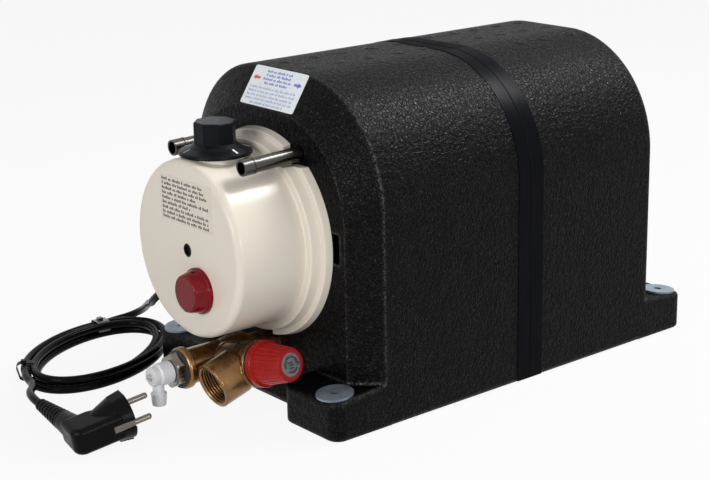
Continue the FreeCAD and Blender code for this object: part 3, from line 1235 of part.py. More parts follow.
def make_plug():
    pins, cord, across, square = plug_frame()
    rim_start = PLUG_FACE - PLUG_RIM_DEPTH
    shell = turned([(0, PLUG_WAIST - 6), (PLUG_WAIST_RADIUS - 3, PLUG_WAIST - 6),
                    (PLUG_WAIST_RADIUS, PLUG_WAIST),
                    (PLUG_RIM_RADIUS - 0.9, rim_start, 1.5), (PLUG_RIM_RADIUS, PLUG_FACE - 2.5),
                    (PLUG_RIM_RADIUS, PLUG_FACE, 0.8), (0, PLUG_FACE)], plug_point(0), pins)
    grip = extruded([(-PLUG_SIDE, rim_start + 2), (-PLUG_SIDE, -PLUG_BACK, 9.0), (12, -PLUG_BACK + 0.6),
                     (12, PLUG_BACK_RADIUS - 1, 2.0), (PLUG_THUMB_NOTCH, 18, 5.0), (14.5, rim_start + 2)],
                    "z", -PLUG_BACK_RADIUS, PLUG_BACK_RADIUS)
    rims = [edge for edge in grip.Edges if edge.BoundBox.ZLength < 0.01]
    grip = grip.makeFillet(PLUG_GRIP_EDGE, rims)
    half = PLUG_PAD_WIDTH / 2
    pad_front = PLUG_FACE - 0.8
    pads = extruded([(rim_start, PLUG_PAD_REAR_REACH), (pad_front, PLUG_PAD_FRONT_REACH),
                     (pad_front, -PLUG_PAD_FRONT_REACH), (rim_start, -PLUG_PAD_REAR_REACH)], "x", -half, half)
    centre = plug_point(0)
    lying = Placement(FreeCAD.Matrix(square.x, pins.x, -across.x, centre.x,
                                     square.y, pins.y, -across.y, centre.y,
                                     square.z, pins.z, -across.z, centre.z, 0, 0, 0, 1))
    grip.Placement = lying
    pads.Placement = lying.multiply(pads.Placement)
    neck = turned([(0, 0), (PLUG_BACK_RADIUS - 0.6, 0), (PLUG_BACK_RADIUS - 1.4, 14, 6.0),
                   (PLUG_NECK_RADIUS, PLUG_NECK_LENGTH), (0, PLUG_NECK_LENGTH)], plug_point(0), cord)
    body = join([shell, grip, neck, pads])
    for side in (-1, 1):
        body = body.cut(clip_slot(side, 0.3))
        root = plug_point(PLUG_FACE - PIN_ROOT, 0, side * PIN_SPACING / 2)
        body = body.cut(rod(root, pins, PIN_ROOT + 5, PIN_RADIUS + FIT_CLEARANCE))
    earth = plug_point(PLUG_FACE - EARTH_HOLE_DEPTH, -EARTH_HOLE_OFFSET)
    body = body.cut(rod(earth, pins, EARTH_HOLE_DEPTH + 5, EARTH_HOLE_RADIUS))
    save("plug_body", body)
    prongs = []
    for side in (-1, 1):
        root = plug_point(PLUG_FACE - PIN_ROOT, 0, side * PIN_SPACING / 2)
        length = PIN_ROOT + PIN_LENGTH
        prongs.append(turned([(0, 0), (PIN_RADIUS, 0), (PIN_RADIUS, length, 1.8), (0, length)], root, pins))
    save("plug_pins", Part.makeCompound(prongs))
    inner = PLUG_RIM_RADIUS - CLIP_SLOT_DEPTH
    half = CLIP_WIDTH / 2
    strips = []
    for side in (-1, 1):
        near = side * inner
        far = side * (inner + CLIP_THICKNESS)
        strips.append(plug_box((PLUG_FACE - CLIP_LENGTH, PLUG_FACE - 0.3), (min(near, far), max(near, far)),
                               (-half, half)))
    save("plug_earth_clips", Part.makeCompound(strips))
    step = (RELIEF_LENGTH - PLUG_NECK_LENGTH) / (2 * RELIEF_RIB_COUNT + 1)
    profile = [(0, 0)]
    for index in range(2 * RELIEF_RIB_COUNT + 1):
        share = index / (2 * RELIEF_RIB_COUNT)
        radius = PLUG_NECK_RADIUS + (RELIEF_TIP_RADIUS - PLUG_NECK_RADIUS) * share
        radius = radius if index % 2 == 0 else radius - 1.0
        profile.append((radius, index * step))
        profile.append((radius, (index + 1) * step))
    profile.append((0, (2 * RELIEF_RIB_COUNT + 1) * step))
    start = plug_point(0) + cord * PLUG_NECK_LENGTH
    save("plug_strain_relief", turned(profile, start, cord))


def make_free_cord():
    """The two stretches that lie free: gland to coil, and coil to plug."""
    coil_start, inward, coil_end, away = coil_ends()
    outlet = gland_point(GLAND_TIP)
    cord_along("power_cord", [
        outlet, outlet + gland_direction() * 22, Vector(-122, -209, 56.5), Vector(-153, -194, 44.5),
        Vector(-182, -177.5, 32), Vector(-204, -169, 20), Vector(-221, -173, 10.5),
        Vector(-232, -185.5, 5.8), Vector(-233, -201, 4.3), Vector(-228, -216.5, 4.3),
        coil_start - inward * 20, coil_start])
    cord = plug_frame()[1]
    relief_end = plug_point(0) + cord * RELIEF_LENGTH
    cord_along("plug_lead", [coil_end, coil_end + away * 21, relief_end + cord * 24, relief_end])


def main():
    os.makedirs("parts", exist_ok=True)
    make_housing()
    make_washers()
    make_tank()
    make_closure()
    make_element()
    make_pocket_and_bulb()
    make_water_pipes()
    make_cover()
    make_thermostat()
    make_knob()
    make_cutout()
    make_lamp()
    make_bracket()
    make_gland()
    make_drain_fitting()
    make_valve_body()
    make_relief_valve()
    make_vent()
    make_coil()
    make_ties()
    make_plug()
    make_free_cord()


main()
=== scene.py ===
"""Looks of the caravan water heater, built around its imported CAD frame. Metres, same frame as the CAD."""
import bpy
import math
from mathutils import Matrix, Vector
from mathutils.bvhtree import BVHTree


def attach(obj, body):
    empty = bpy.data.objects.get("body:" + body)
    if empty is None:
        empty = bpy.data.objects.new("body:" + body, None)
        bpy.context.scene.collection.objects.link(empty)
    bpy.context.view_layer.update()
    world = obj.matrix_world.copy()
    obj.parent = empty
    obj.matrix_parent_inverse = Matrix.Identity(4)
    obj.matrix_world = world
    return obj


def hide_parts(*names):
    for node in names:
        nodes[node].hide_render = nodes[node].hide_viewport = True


MM = 0.001
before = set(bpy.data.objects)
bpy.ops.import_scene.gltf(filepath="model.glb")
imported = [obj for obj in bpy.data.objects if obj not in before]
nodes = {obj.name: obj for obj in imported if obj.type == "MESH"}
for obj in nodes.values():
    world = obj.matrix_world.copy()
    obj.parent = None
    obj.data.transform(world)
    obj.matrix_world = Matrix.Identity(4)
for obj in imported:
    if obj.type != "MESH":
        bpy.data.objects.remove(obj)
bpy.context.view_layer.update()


def at(x, y, z):
    """A place given in millimetres."""
    return Vector((x, y, z)) * MM


# Camera

CAMERA_PLACE = at(1034.31, -919.85, 507.66)
CAMERA_AZIMUTH = math.radians(50.93)
CAMERA_DROP = math.radians(16.50)
CAMERA_ROLL = math.radians(-1.20)
CAMERA_LENS = 82.69
SENSOR_WIDTH = 36.0
CLIP_START = 0.05


def make_camera():
    ahead = Vector((-math.sin(CAMERA_AZIMUTH) * math.cos(CAMERA_DROP),
                    math.cos(CAMERA_AZIMUTH) * math.cos(CAMERA_DROP), -math.sin(CAMERA_DROP)))
    level = Vector((math.cos(CAMERA_AZIMUTH), math.sin(CAMERA_AZIMUTH), 0))
    rise = level.cross(ahead)
    right = level * math.cos(CAMERA_ROLL) + rise * math.sin(CAMERA_ROLL)
    up = rise * math.cos(CAMERA_ROLL) - level * math.sin(CAMERA_ROLL)
    data = bpy.data.cameras.new("camera")
    data.lens = CAMERA_LENS
    data.sensor_width = SENSOR_WIDTH
    data.clip_start = CLIP_START
    camera = bpy.data.objects.new("camera", data)
    turn = Matrix((right, up, -ahead)).transposed()
    camera.matrix_world = Matrix.Translation(CAMERA_PLACE) @ turn.to_4x4()
    bpy.context.scene.collection.objects.link(camera)
    bpy.context.scene.camera = camera


make_camera()


# Materials

BEVEL_SAMPLES = 6


class Surface:
    """A Principled material whose colour, roughness and relief come from procedural textures."""

    def __init__(self, name):
        self.material = bpy.data.materials.new(name)
        self.material.use_nodes = True
        self.tree = self.material.node_tree
        self.shader = self.tree.nodes["Principled BSDF"]
        self.coordinates = self.tree.nodes.new("ShaderNodeTexCoord").outputs["Object"]
        self.height = None

    def node(self, kind, **settings):
        made = self.tree.nodes.new(kind)
        for key, value in settings.items():
            if key in made.inputs:
                made.inputs[key].default_value = value
            else:
                setattr(made, key, value)
        return made

    def link(self, source, target):
        self.tree.links.new(source, target)

    def stretched(self, scale):
        mapping = self.node("ShaderNodeMapping")
        mapping.inputs["Scale"].default_value = scale
        self.link(self.coordinates, mapping.inputs["Vector"])
        return mapping.outputs["Vector"]

    def noise(self, scale, detail=3.0, source=None):
        made = self.node("ShaderNodeTexNoise", Scale=scale, Detail=detail)
        self.link(source or self.coordinates, made.inputs["Vector"])
        return made.outputs["Fac"]

    def cells(self, scale, feature):
        made = self.node("ShaderNodeTexVoronoi", Scale=scale)
        made.feature = feature
        self.link(self.coordinates, made.inputs["Vector"])
        return made.outputs["Distance"]

    def remap(self, source, low, high, start=0.3, end=0.7):
        made = self.node("ShaderNodeMapRange")
        for socket, value in (("From Min", start), ("From Max", end), ("To Min", low), ("To Max", high)):
            made.inputs[socket].default_value = value
        self.link(source, made.inputs["Value"])
        return made.outputs["Result"]

    def colour(self, source, dark, light, start=0.3, end=0.7):
        ramp = self.node("ShaderNodeValToRGB")
        ramp.color_ramp.elements[0].position = start
        ramp.color_ramp.elements[0].color = (*dark, 1)
        ramp.color_ramp.elements[1].position = end
        ramp.color_ramp.elements[1].color = (*light, 1)
        self.link(source, ramp.inputs["Fac"])
        return ramp.outputs["Color"]

    def blend(self, share, first, second, kind="MIX"):
        mix = self.node("ShaderNodeMix", data_type="RGBA", blend_type=kind)
        self.link(share, mix.inputs["Factor"])
        self.link(first, mix.inputs["A"])
        self.link(second, mix.inputs["B"])
        return mix.outputs["Result"]

    def relief(self, source, strength, distance):
        """Adds one layer of relief over what is there."""
        bump = self.node("ShaderNodeBump", Strength=strength, Distance=distance)
        self.link(source, bump.inputs["Height"])
        if self.height is not None:
            self.link(self.height, bump.inputs["Normal"])
        self.height = bump.outputs["Normal"]
        self.link(self.height, self.shader.inputs["Normal"])

    def rounded(self, radius):
        """Softens the look of sharp edges; returns a value that rises from 0 to 1 beside an edge."""
        bevel = self.node("ShaderNodeBevel", Radius=radius)
        bevel.samples = BEVEL_SAMPLES
        self.height = bevel.outputs["Normal"]
        facet = self.node("ShaderNodeNewGeometry")
        agreement = self.node("ShaderNodeVectorMath", operation="DOT_PRODUCT")
        self.link(bevel.outputs["Normal"], agreement.inputs[0])
        self.link(facet.outputs["True Normal"], agreement.inputs[1])
        return self.remap(agreement.outputs["Value"], 1.0, 0.0, 0.90, 0.985)

    def combine(self, operation, first, second):
        made = self.node("ShaderNodeMath", operation=operation)
        self.link(first, made.inputs[0])
        self.link(second, made.inputs[1])
        return made.outputs["Value"]

    def gloss(self, source, grazing=0.25):
        """Specular level, less where the surface is seen at a flat angle."""
        weight = self.node("ShaderNodeLayerWeight", Blend=0.5)
        fade = self.remap(weight.outputs["Facing"], 1.0, grazing, 0.35, 0.80)
        self.set(Specular_IOR_Level=0.06)
        self.link(self.combine("MULTIPLY", fade, source), self.shader.inputs["Specular IOR Level"])

    def set(self, **values):
        for key, value in values.items():
            self.shader.inputs[key.replace("_", " ")].default_value = value

    def base(self, source):
        self.link(source, self.shader.inputs["Base Color"])

    def rough(self, source):
        self.link(source, self.shader.inputs["Roughness"])


def tinted(colour, factor):
    return tuple(min(1.0, channel * factor) for channel in colour)


def plain(name, colour, roughness, spread=0.08, scale=90.0, grain=(0.08, 0.00008, 1500.0), coat=0.0,
          shine=0.5, edge=0.0):
    """Moulded surface with mottled colour and a fine grain, given as strength, height and scale."""
    made = Surface(name)
    if edge:
        made.rounded(edge)
    made.base(made.colour(made.noise(scale), tinted(colour, 1 - spread), tinted(colour, 1 + spread)))
    made.rough(made.remap(made.noise(scale * 2.7), roughness[0], roughness[1]))
    strength, height, fineness = grain
    made.relief(made.noise(fineness, 2.0), strength, height)
    made.set(Coat_Weight=coat, Specular_IOR_Level=shine)
    return made.material


BEADS_PER_METRE = 270.0


def foam_material():
    """Moulded bead foam: pressed beads with dark joints, a wrinkled skin with glints, and glossier edges."""
    made = Surface("bead_foam")
    edge = made.rounded(0.0050)
    joints = made.cells(BEADS_PER_METRE, "DISTANCE_TO_EDGE")
    beads = made.cells(BEADS_PER_METRE, "SMOOTH_F1")
    mottled = made.colour(made.noise(520.0, 6.0), (0.0008, 0.0008, 0.0010), (0.0120, 0.0113, 0.0128),
                          0.45, 0.72)
    dark = made.colour(made.noise(40.0), (0.001, 0.001, 0.001), (0.002, 0.002, 0.002))
    tone = made.blend(made.remap(joints, 0.0, 1.0, 0.0, 0.05), dark, mottled)
    patches = made.colour(made.noise(70.0, 4.0), (0.45, 0.44, 0.45), (1.0, 1.0, 1.0), 0.3, 0.7)
    made.base(made.blend(made.remap(joints, 0.9, 1.0, 0.0, 0.1), tone, patches, "MULTIPLY"))
    made.rough(made.remap(made.noise(420.0, 5.0), 0.28, 0.46))
    glints = made.remap(made.noise(850.0, 2.0), 0.056, 0.60, 0.62, 0.80)
    worn = made.combine("MULTIPLY", edge, made.remap(made.noise(600.0, 3.0), 0.10, 0.90, 0.40, 0.60))
    made.gloss(made.combine("MAXIMUM", glints, worn))
    made.relief(made.noise(24.0, 2.0), 0.25, 0.0010)
    made.relief(made.remap(joints, 0.0, 1.0, 0.0, 0.12), 0.55, 0.00040)
    made.relief(beads, 0.60, 0.0009)
    made.relief(made.noise(450.0, 5.0), 0.60, 0.00060)
    made.relief(made.noise(1600.0, 3.0), 0.40, 0.00014)
    return made.material


def brass_material():
    """Cast, tumbled brass: warm mottling and soft ripples."""
    made = Surface("cast_brass")
    made.rounded(0.0012)
    made.base(made.colour(made.noise(45.0, 5.0), (0.15, 0.078, 0.031), (0.30, 0.172, 0.074)))
    made.rough(made.remap(made.noise(180.0, 4.0), 0.20, 0.36))
    made.relief(made.noise(50.0, 3.0), 0.16, 0.0006)
    made.relief(made.noise(900.0, 4.0), 0.05, 0.00010)
    made.set(Metallic=1.0)
    return made.material


def drawn_material(name, colour, roughness, along, stain=None):
    """Drawn or turned metal with fine lines along one direction."""
    made = Surface(name)
    lines = made.noise(1.0, 3.0, made.stretched(along))
    tone = made.colour(lines, tinted(colour, 0.82), tinted(colour, 1.10))
    if stain:
        tone = made.blend(made.remap(made.noise(70.0, 5.0), 0.0, 1.0, 0.45, 0.75), tone,
                          made.colour(made.noise(300.0), tinted(stain, 0.8), stain))
    made.base(tone)
    made.rough(made.remap(lines, roughness[0], roughness[1]))
    made.relief(lines, 0.12, 0.00005)
    made.set(Metallic=1.0)
    return made.material


def lens_material():
    made = Surface("red_lens")
    made.rounded(0.0006)
    made.base(made.colour(made.noise(160.0), (0.17, 0.0005, 0.005), (0.22, 0.001, 0.008)))
    made.rough(made.remap(made.noise(400.0), 0.05, 0.12))
    made.relief(made.noise(260.0, 2.0), 0.05, 0.0002)
    made.set(IOR=1.49, Transmission_Weight=0.12, Specular_IOR_Level=0.14)
    return made.material


def glass_material():
    made = Surface("lamp_glass")
    made.base(made.colour(made.noise(300.0), (0.86, 0.78, 0.74), (0.95, 0.9, 0.86)))
    made.rough(made.remap(made.noise(500.0), 0.05, 0.12))
    made.set(IOR=1.5, Transmission_Weight=0.85)
    return made.material


def tape_material():
    """Satin tape drawn tight, with faint lines round the housing."""
    made = Surface("seam_tape")
    lines = made.noise(1.0, 3.0, made.stretched((30.0, 1100.0, 30.0)))
    made.base(made.colour(lines, (0.0018, 0.0020, 0.0032), (0.0032, 0.0036, 0.0056)))
    made.rough(made.remap(made.noise(35.0, 4.0), 0.26, 0.38))
    made.relief(lines, 0.30, 0.00012)
    made.relief(made.noise(26.0, 2.0), 0.18, 0.0008)
    made.gloss(made.remap(lines, 0.026, 0.038), 0.03)
    return made.material


def washer_material():
    """Zinc-plated steel with cloudy plating and light scratches."""
    made = Surface("zinc_plate")
    made.base(made.colour(made.noise(90.0, 6.0), (0.165, 0.198, 0.24), (0.26, 0.31, 0.37)))
    made.rough(made.remap(made.noise(420.0, 4.0), 0.38, 0.55))
    made.relief(made.noise(1.0, 3.0, made.stretched((1800.0, 90.0, 300.0))), 0.10, 0.00005)
    made.set(Metallic=0.65)
    return made.material


foam = foam_material()
tape = tape_material()
washer = washer_material()
brass = brass_material()
lens = lens_material()
lamp_glass = glass_material()
pipe_steel = drawn_material("pipe_steel", (0.092, 0.088, 0.084), (0.18, 0.30), (1400.0, 40.0, 1400.0))
tank_steel = drawn_material("tank_steel", (0.60, 0.59, 0.57), (0.24, 0.40), (60.0, 1500.0, 60.0))
chrome = drawn_material("nickel_chrome", (0.30, 0.28, 0.26), (0.10, 0.20), (900.0, 60.0, 900.0))
pin_metal = drawn_material("pin_nickel", (0.17, 0.152, 0.138), (0.22, 0.34), (700.0, 60.0, 700.0))
copper = drawn_material("copper", (0.72, 0.40, 0.26), (0.25, 0.40), (600.0, 60.0, 600.0))
cream = plain("cream_gloss", (0.745, 0.680, 0.590), (0.20, 0.24), 0.006, 30.0,
              (0.02, 0.00010, 420.0), shine=0.30, edge=0.0006)
black = plain("black_moulding", (0.0060, 0.0068, 0.0090), (0.28, 0.40), 0.18, 120.0,
              (0.20, 0.00010, 2200.0), shine=0.06, edge=0.0010)
plug_black = plain("plug_moulding", (0.0028, 0.0029, 0.0034), (0.26, 0.38), 0.15, 80.0,
                   (0.15, 0.00010, 1800.0), shine=0.07, edge=0.0014)
sheath = plain("cord_sheath", (0.0024, 0.0024, 0.0028), (0.22, 0.32), 0.15, 60.0,
               (0.06, 0.00010, 500.0), shine=0.05)
pale = plain("pale_moulding", (0.55, 0.52, 0.46), (0.40, 0.55))
rubber = plain("black_rubber", (0.018, 0.018, 0.019), (0.55, 0.7), 0.2, 90.0, (0.2, 0.0001, 900.0))
red = plain("red_cap", (0.33, 0.010, 0.008), (0.26, 0.38), 0.10, 80.0,
            (0.12, 0.00010, 700.0), shine=0.15, edge=0.0006)
disc_grey = plain("disc_grey", (0.19, 0.197, 0.215), (0.34, 0.46), 0.15, 260.0, shine=0.2)
white = plain("white_moulding", (0.70, 0.71, 0.73), (0.28, 0.40), 0.03, 60.0,
              (0.10, 0.00008, 600.0), edge=0.0006)
tie_clear = plain("clear_tie", (0.022, 0.023, 0.026), (0.10, 0.2), 0.2, 200.0, coat=0.5)
ink = plain("print_ink", (0.030, 0.030, 0.032), (0.35, 0.5), 0.2, 400.0)
paper = plain("label_film", (0.87, 0.92, 0.96), (0.25, 0.35), 0.02, 60.0, coat=0.2)
plate_film = plain("plate_film", (0.700, 0.632, 0.535), (0.18, 0.28), 0.02, 60.0, coat=0.1)
blue_ink = plain("blue_ink", (0.16, 0.20, 0.62), (0.3, 0.4), 0.08, 300.0)
pale_blue_ink = plain("pale_blue_ink", (0.40, 0.46, 0.72), (0.3, 0.4), 0.08, 300.0)
red_ink = plain("red_ink", (0.75, 0.10, 0.05), (0.3, 0.4), 0.08, 300.0)
tick_white = plain("tick_white", (0.80, 0.84, 0.90), (0.35, 0.45), 0.04, 300.0)

finishes = {
    foam: ("front_shell", "rear_shell"),
    tape: ("seam_tape",),
    washer: ("foot_washer_front_left", "foot_washer_front_right", "foot_washer_rear_left",
             "foot_washer_rear_right"),
    tank_steel: ("tank", "tank_flange_ring", "flange_plate", "flange_bolts", "mounting_bracket",
                 "relief_spring", "thermostat_shaft", "vent_spindle", "sensor_pocket"),
    pipe_steel: ("hot_outlet_pipe", "cold_inlet_pipe"),
    rubber: ("flange_gasket", "bonnet_seal", "vent_gasket"),
    copper: ("heating_element", "sensing_capillary"),
    cream: ("cover",),
    pale: ("thermostat_body", "terminal_block"),
    black: ("knob", "reset_button", "thermal_cutout", "lamp_holder", "cable_gland", "cord_tie_dark"),
    lens: ("lamp_lens",),
    lamp_glass: ("neon_lamp",),
    brass: ("drain_fitting", "valve_body", "relief_stem", "relief_bonnet", "vent_collar"),
    chrome: ("vent_plug",),
    red: ("relief_cap",),
    disc_grey: ("relief_cap_disc",),
    white: ("vent_nozzle",),
    tie_clear: ("cord_tie_clear",),
    plug_black: ("plug_body", "plug_strain_relief"),
    pin_metal: ("plug_pins", "plug_earth_clips"),
    sheath: ("cord_coil", "power_cord", "plug_lead"),
}
for finish, names in finishes.items():
    for name in names:
        mesh = nodes[name].data
        mesh.materials.clear()
        mesh.materials.append(finish)


# Mains cord: one smooth line from the gland, round the coil and on to the plug

CORD_RADIUS = 3.4
COIL_CENTRE = (-158.0, -245.0)
COIL_TURN = math.radians(117.5)
COIL_LONG_RADIUS = 78.3
COIL_SHORT_RADIUS = 47.5
COIL_LIFT = 0.9
LAYER_RISE = 7.25
LANE_PITCH = 8.1
LANE_INNER = -6.6
LANE_ROUNDING = 0.07
COIL_REVERSE_DEG = 630.0
COIL_STEP_DEG = 15
COIL_FIRST_DEG = 90
COIL_LAST_DEG = 1230


def coil_place(degrees):
    turns = (degrees - COIL_REVERSE_DEG) / 360
    lane = LANE_INNER + LANE_PITCH * (math.hypot(turns, LANE_ROUNDING) - LANE_ROUNDING)
    climb = min(max(turns * 2 + 0.5, 0.0), 1.0)
    smooth = climb * climb * (3 - 2 * climb)
    angle = math.radians(degrees)
    along = (COIL_LONG_RADIUS + lane) * math.cos(angle)
    across = (COIL_SHORT_RADIUS + lane) * math.sin(angle)
    return (COIL_CENTRE[0] + along * math.cos(COIL_TURN) - across * math.sin(COIL_TURN),
            COIL_CENTRE[1] + along * math.sin(COIL_TURN) + across * math.cos(COIL_TURN),
            COIL_LIFT + CORD_RADIUS + LAYER_RISE * smooth)


cord_line = [
    (-78.4, -226.0, 80.8), (-96.0, -226.0, 67.6), (-122.0, -209.0, 56.5), (-153.0, -194.0, 44.5),
    (-182.0, -177.5, 32.0), (-204.0, -169.0, 20.0), (-221.0, -173.0, 10.5), (-232.0, -185.5, 5.8),
    (-233.0, -201.0, 4.3), (-228.0, -216.5, 4.3),
]
cord_line += [coil_place(angle) for angle in range(COIL_FIRST_DEG, COIL_LAST_DEG + 1, COIL_STEP_DEG)]
cord_line += [(-140.2, -325.9, 11.6), (-119.5, -329.5, 11.6), (-90.4, -351.7, 17.7), (-66.4, -352.2, 16.6)]


def make_cord():
    data = bpy.data.curves.new("mains_cord", "CURVE")
    data.dimensions = "3D"
    data.bevel_depth = CORD_RADIUS * MM
    data.bevel_resolution = 6
    data.use_fill_caps = True
    spline = data.splines.new("NURBS")
    spline.points.add(len(cord_line) - 1)
    for point, place in zip(spline.points, cord_line):
        point.co = (*at(*place), 1.0)
    spline.order_u = 3
    spline.use_endpoint_u = True
    spline.resolution_u = 8
    data.materials.append(sheath)
    piece = bpy.data.objects.new("mains_cord", data)
    bpy.context.scene.collection.objects.link(piece)
    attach(piece, "heater")
    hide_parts("power_cord", "cord_coil", "plug_lead")
    at(*cord_line[0])


make_cord()


# Thin closed pieces laid on a surface

def mesh_piece(name, vertices, faces, finish, body="heater", slot_name="black_plastic", smooth=False):
    data = bpy.data.meshes.new(name)
    data.from_pydata([tuple(vertex) for vertex in vertices], [], faces)
    data.validate()
    data.polygons.foreach_set("use_smooth", [smooth] * len(data.polygons))
    data.materials.append(finish)
    piece = bpy.data.objects.new(name, data)
    bpy.context.scene.collection.objects.link(piece)
    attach(piece, body)
    return piece


def slab(cells, place, low, high):
    """Closed slab over flat cells (u, v), between two heights; place(u, v, height) gives the point."""
    index = {}
    for cell in cells:
        for corner in cell:
            key = (round(corner[0], 5), round(corner[1], 5))
            index.setdefault(key, len(index))
    count = len(index)
    vertices = [place(u, v, low) for u, v in index] + [place(u, v, high) for u, v in index]
    faces = []
    edges = set()
    for cell in cells:
        ring = [index[(round(u, 5), round(v, 5))] for u, v in cell]
        faces.append([corner + count for corner in ring])
        faces.append(ring[::-1])
        edges |= set(zip(ring, ring[1:] + ring[:1]))
    for a, b in edges:
        if (b, a) not in edges:
            faces.append([a, b, b + count, a + count])
    return vertices, faces


def swept_faces(vertex_count, size):
    """Faces of a closed rod made of rings with the given number of corners."""
    rings = vertex_count // size
    faces = []
    for ring in range(rings - 1):
        for corner in range(size):
            other = (corner + 1) % size
            faces.append([ring * size + corner, ring * size + other, (ring + 1) * size + other,
                          (ring + 1) * size + corner])
    faces.append(list(range(size))[::-1])
    faces.append([(rings - 1) * size + corner for corner in range(size)])
    return faces


def joined(parts):
    vertices = []
    faces = []
    for some_vertices, some_faces in parts:
        faces += [[corner + len(vertices) for corner in face] for face in some_faces]
        vertices += some_vertices
    return vertices, faces


def rectangle(centre_u, centre_v, width, height, columns=1, rows=1, radius=0.0):
    """Cells of a rectangle; its corners are rounded where a radius is given."""
    stops = [width * (step / columns - 0.5) for step in range(columns + 1)]
    if radius:
        inset = [radius * share for share in (0.0, 0.08, 0.3, 0.6)]
        inner = [stop for stop in stops if abs(stop) < width / 2 - radius * 0.8]
        stops = [-width / 2 + step for step in inset] + inner + [width / 2 - step for step in inset[::-1]]
    halves = []
    for stop in stops:
        edge = width / 2 - abs(stop)
        drop = radius - math.sqrt(max(radius ** 2 - (radius - edge) ** 2, 0)) if edge < radius else 0.0
        halves.append(height / 2 - drop)
    cells = []
    for left in range(len(stops) - 1):
        for row in range(rows):
            low = row / rows * 2 - 1
            high = (row + 1) / rows * 2 - 1
            cells.append([(centre_u + stops[left], centre_v + halves[left] * low),
                          (centre_u + stops[left + 1], centre_v + halves[left + 1] * low),
                          (centre_u + stops[left + 1], centre_v + halves[left + 1] * high),
                          (centre_u + stops[left], centre_v + halves[left] * high)])
    return cells


def arrow(centre_u, centre_v, length, height, heading):
    """Plain block arrow; heading 1 points to +u and -1 to -u."""
    half = length / 2
    corners = [(-half, -height * 0.22), (0, -height * 0.22), (0, -height / 2), (half, 0), (0, height / 2),
               (0, height * 0.22), (-half, height * 0.22)]
    ring = [(centre_u + heading * u, centre_v + v) for u, v in corners]
    return [ring if heading > 0 else ring[::-1]]


def ring_cells(inner, outer, start_deg, end_deg, steps):
    cells = []
    for step in range(steps):
        near = math.radians(start_deg + (end_deg - start_deg) * step / steps)
        far = math.radians(start_deg + (end_deg - start_deg) * (step + 1) / steps)
        cells.append([(inner * math.cos(near), inner * math.sin(near)),
                      (outer * math.cos(near), outer * math.sin(near)),
                      (outer * math.cos(far), outer * math.sin(far)),
                      (inner * math.cos(far), inner * math.sin(far))])
    return cells


DROP_FROM = 0.05


def surface_tree(name):
    """Search tree over the faces of a CAD node."""
    mesh = nodes[name].data
    return BVHTree.FromPolygons([vertex.co for vertex in mesh.vertices],
                                [tuple(polygon.vertices) for polygon in mesh.polygons])


def on_node(name, origin, across, up):
    """Placing function that drops flat cells along the inward normal on to a CAD node."""
    tree = surface_tree(name)
    across = across.normalized()
    up = up.normalized()
    outward = across.cross(up).normalized()

    def place(u, v, height):
        start = origin + (across * u + up * v) * MM + outward * DROP_FROM
        hit = tree.ray_cast(start, -outward)[0]
        return hit + outward * height * MM
    return place


def flat_place(origin, across, up):
    outward = across.cross(up).normalized()

    def place(u, v, height):
        return origin + (across * u + up * v + outward * height) * MM
    return place


EAST = Vector((1, 0, 0))
NORTH = Vector((0, 1, 0))
UP = Vector((0, 0, 1))


# Rating plate on the cover: a clear film with rows of plain marks in place of its words

WORD_LENGTHS = (4, 2, 6, 1, 5, 3, 7, 2, 4, 3)


def word_marks(number, left, right, row, height):
    """Row of small upright blocks, set in groups like words."""
    cells = []
    step = height * 0.78
    word = number * 3
    while left < right:
        for letter in range(WORD_LENGTHS[word % len(WORD_LENGTHS)]):
            if left > right - step:
                break
            tall = 1.0 if (letter + word) % 3 == 0 else 0.68
            middle = row - height * (1.0 - tall) / 2
            cells += rectangle(left + step / 2, middle, step * 0.72, height * tall)
            left += step
        left += step * 0.8
        word += 1
    return cells


PLATE_CENTRE = at(2.5, -250.5, 177.9)
PLATE_WIDTH = 71.0
PLATE_HEIGHT = 37.5
PLATE_ROWS = ((15.4, 0.86), (11.6, 0.90), (7.8, 0.96), (4.0, 0.72), (0.1, 0.97), (-3.8, 0.60), (-7.8, 0.97),
              (-11.6, 0.97), (-15.3, 0.97))
PLATE_ROW_START = -33.0
PLATE_ROW_LENGTH = 66
PLATE_MARK_HEIGHT = 2.5


def make_rating_plate():
    place = flat_place(PLATE_CENTRE, EAST, UP)
    film = slab(rectangle(0, 0, PLATE_WIDTH, PLATE_HEIGHT, 6, 2, 1.5), place, 0.02, 0.14)
    mesh_piece("rating_plate", *film, plate_film, slot_name="cover")
    strokes = []
    for number, (row, share) in enumerate(PLATE_ROWS):
        end = PLATE_ROW_START + PLATE_ROW_LENGTH * share
        strokes += word_marks(number, PLATE_ROW_START, end, row, PLATE_MARK_HEIGHT)
    mesh_piece("rating_plate_strokes", *slab(strokes, place, 0.14, 0.19), ink, slot_name="black_plastic")


# Label with the two flow arrows on the sloping front edge of the housing

LABEL_CENTRE = at(3.7, -162.5, 256.2)
LABEL_UP = Vector((0, 20.0, 29.3)).normalized()
LABEL_WIDTH = 69.0
LABEL_HEIGHT = 34.0
LABEL_FACE = 0.30
ARROW_PLACE = (27.0, 6.5)
ARROW_SIZE = (9.5, 4.6)
STRONG_ROWS = ((13.4, 17.0), (10.0, 16.0), (6.6, 18.5), (3.2, 15.0))
FAINT_ROWS = ((-1.4, 30.5), (-4.8, 30.5), (-8.2, 30.5), (-11.4, 30.5), (-14.6, 22.0))


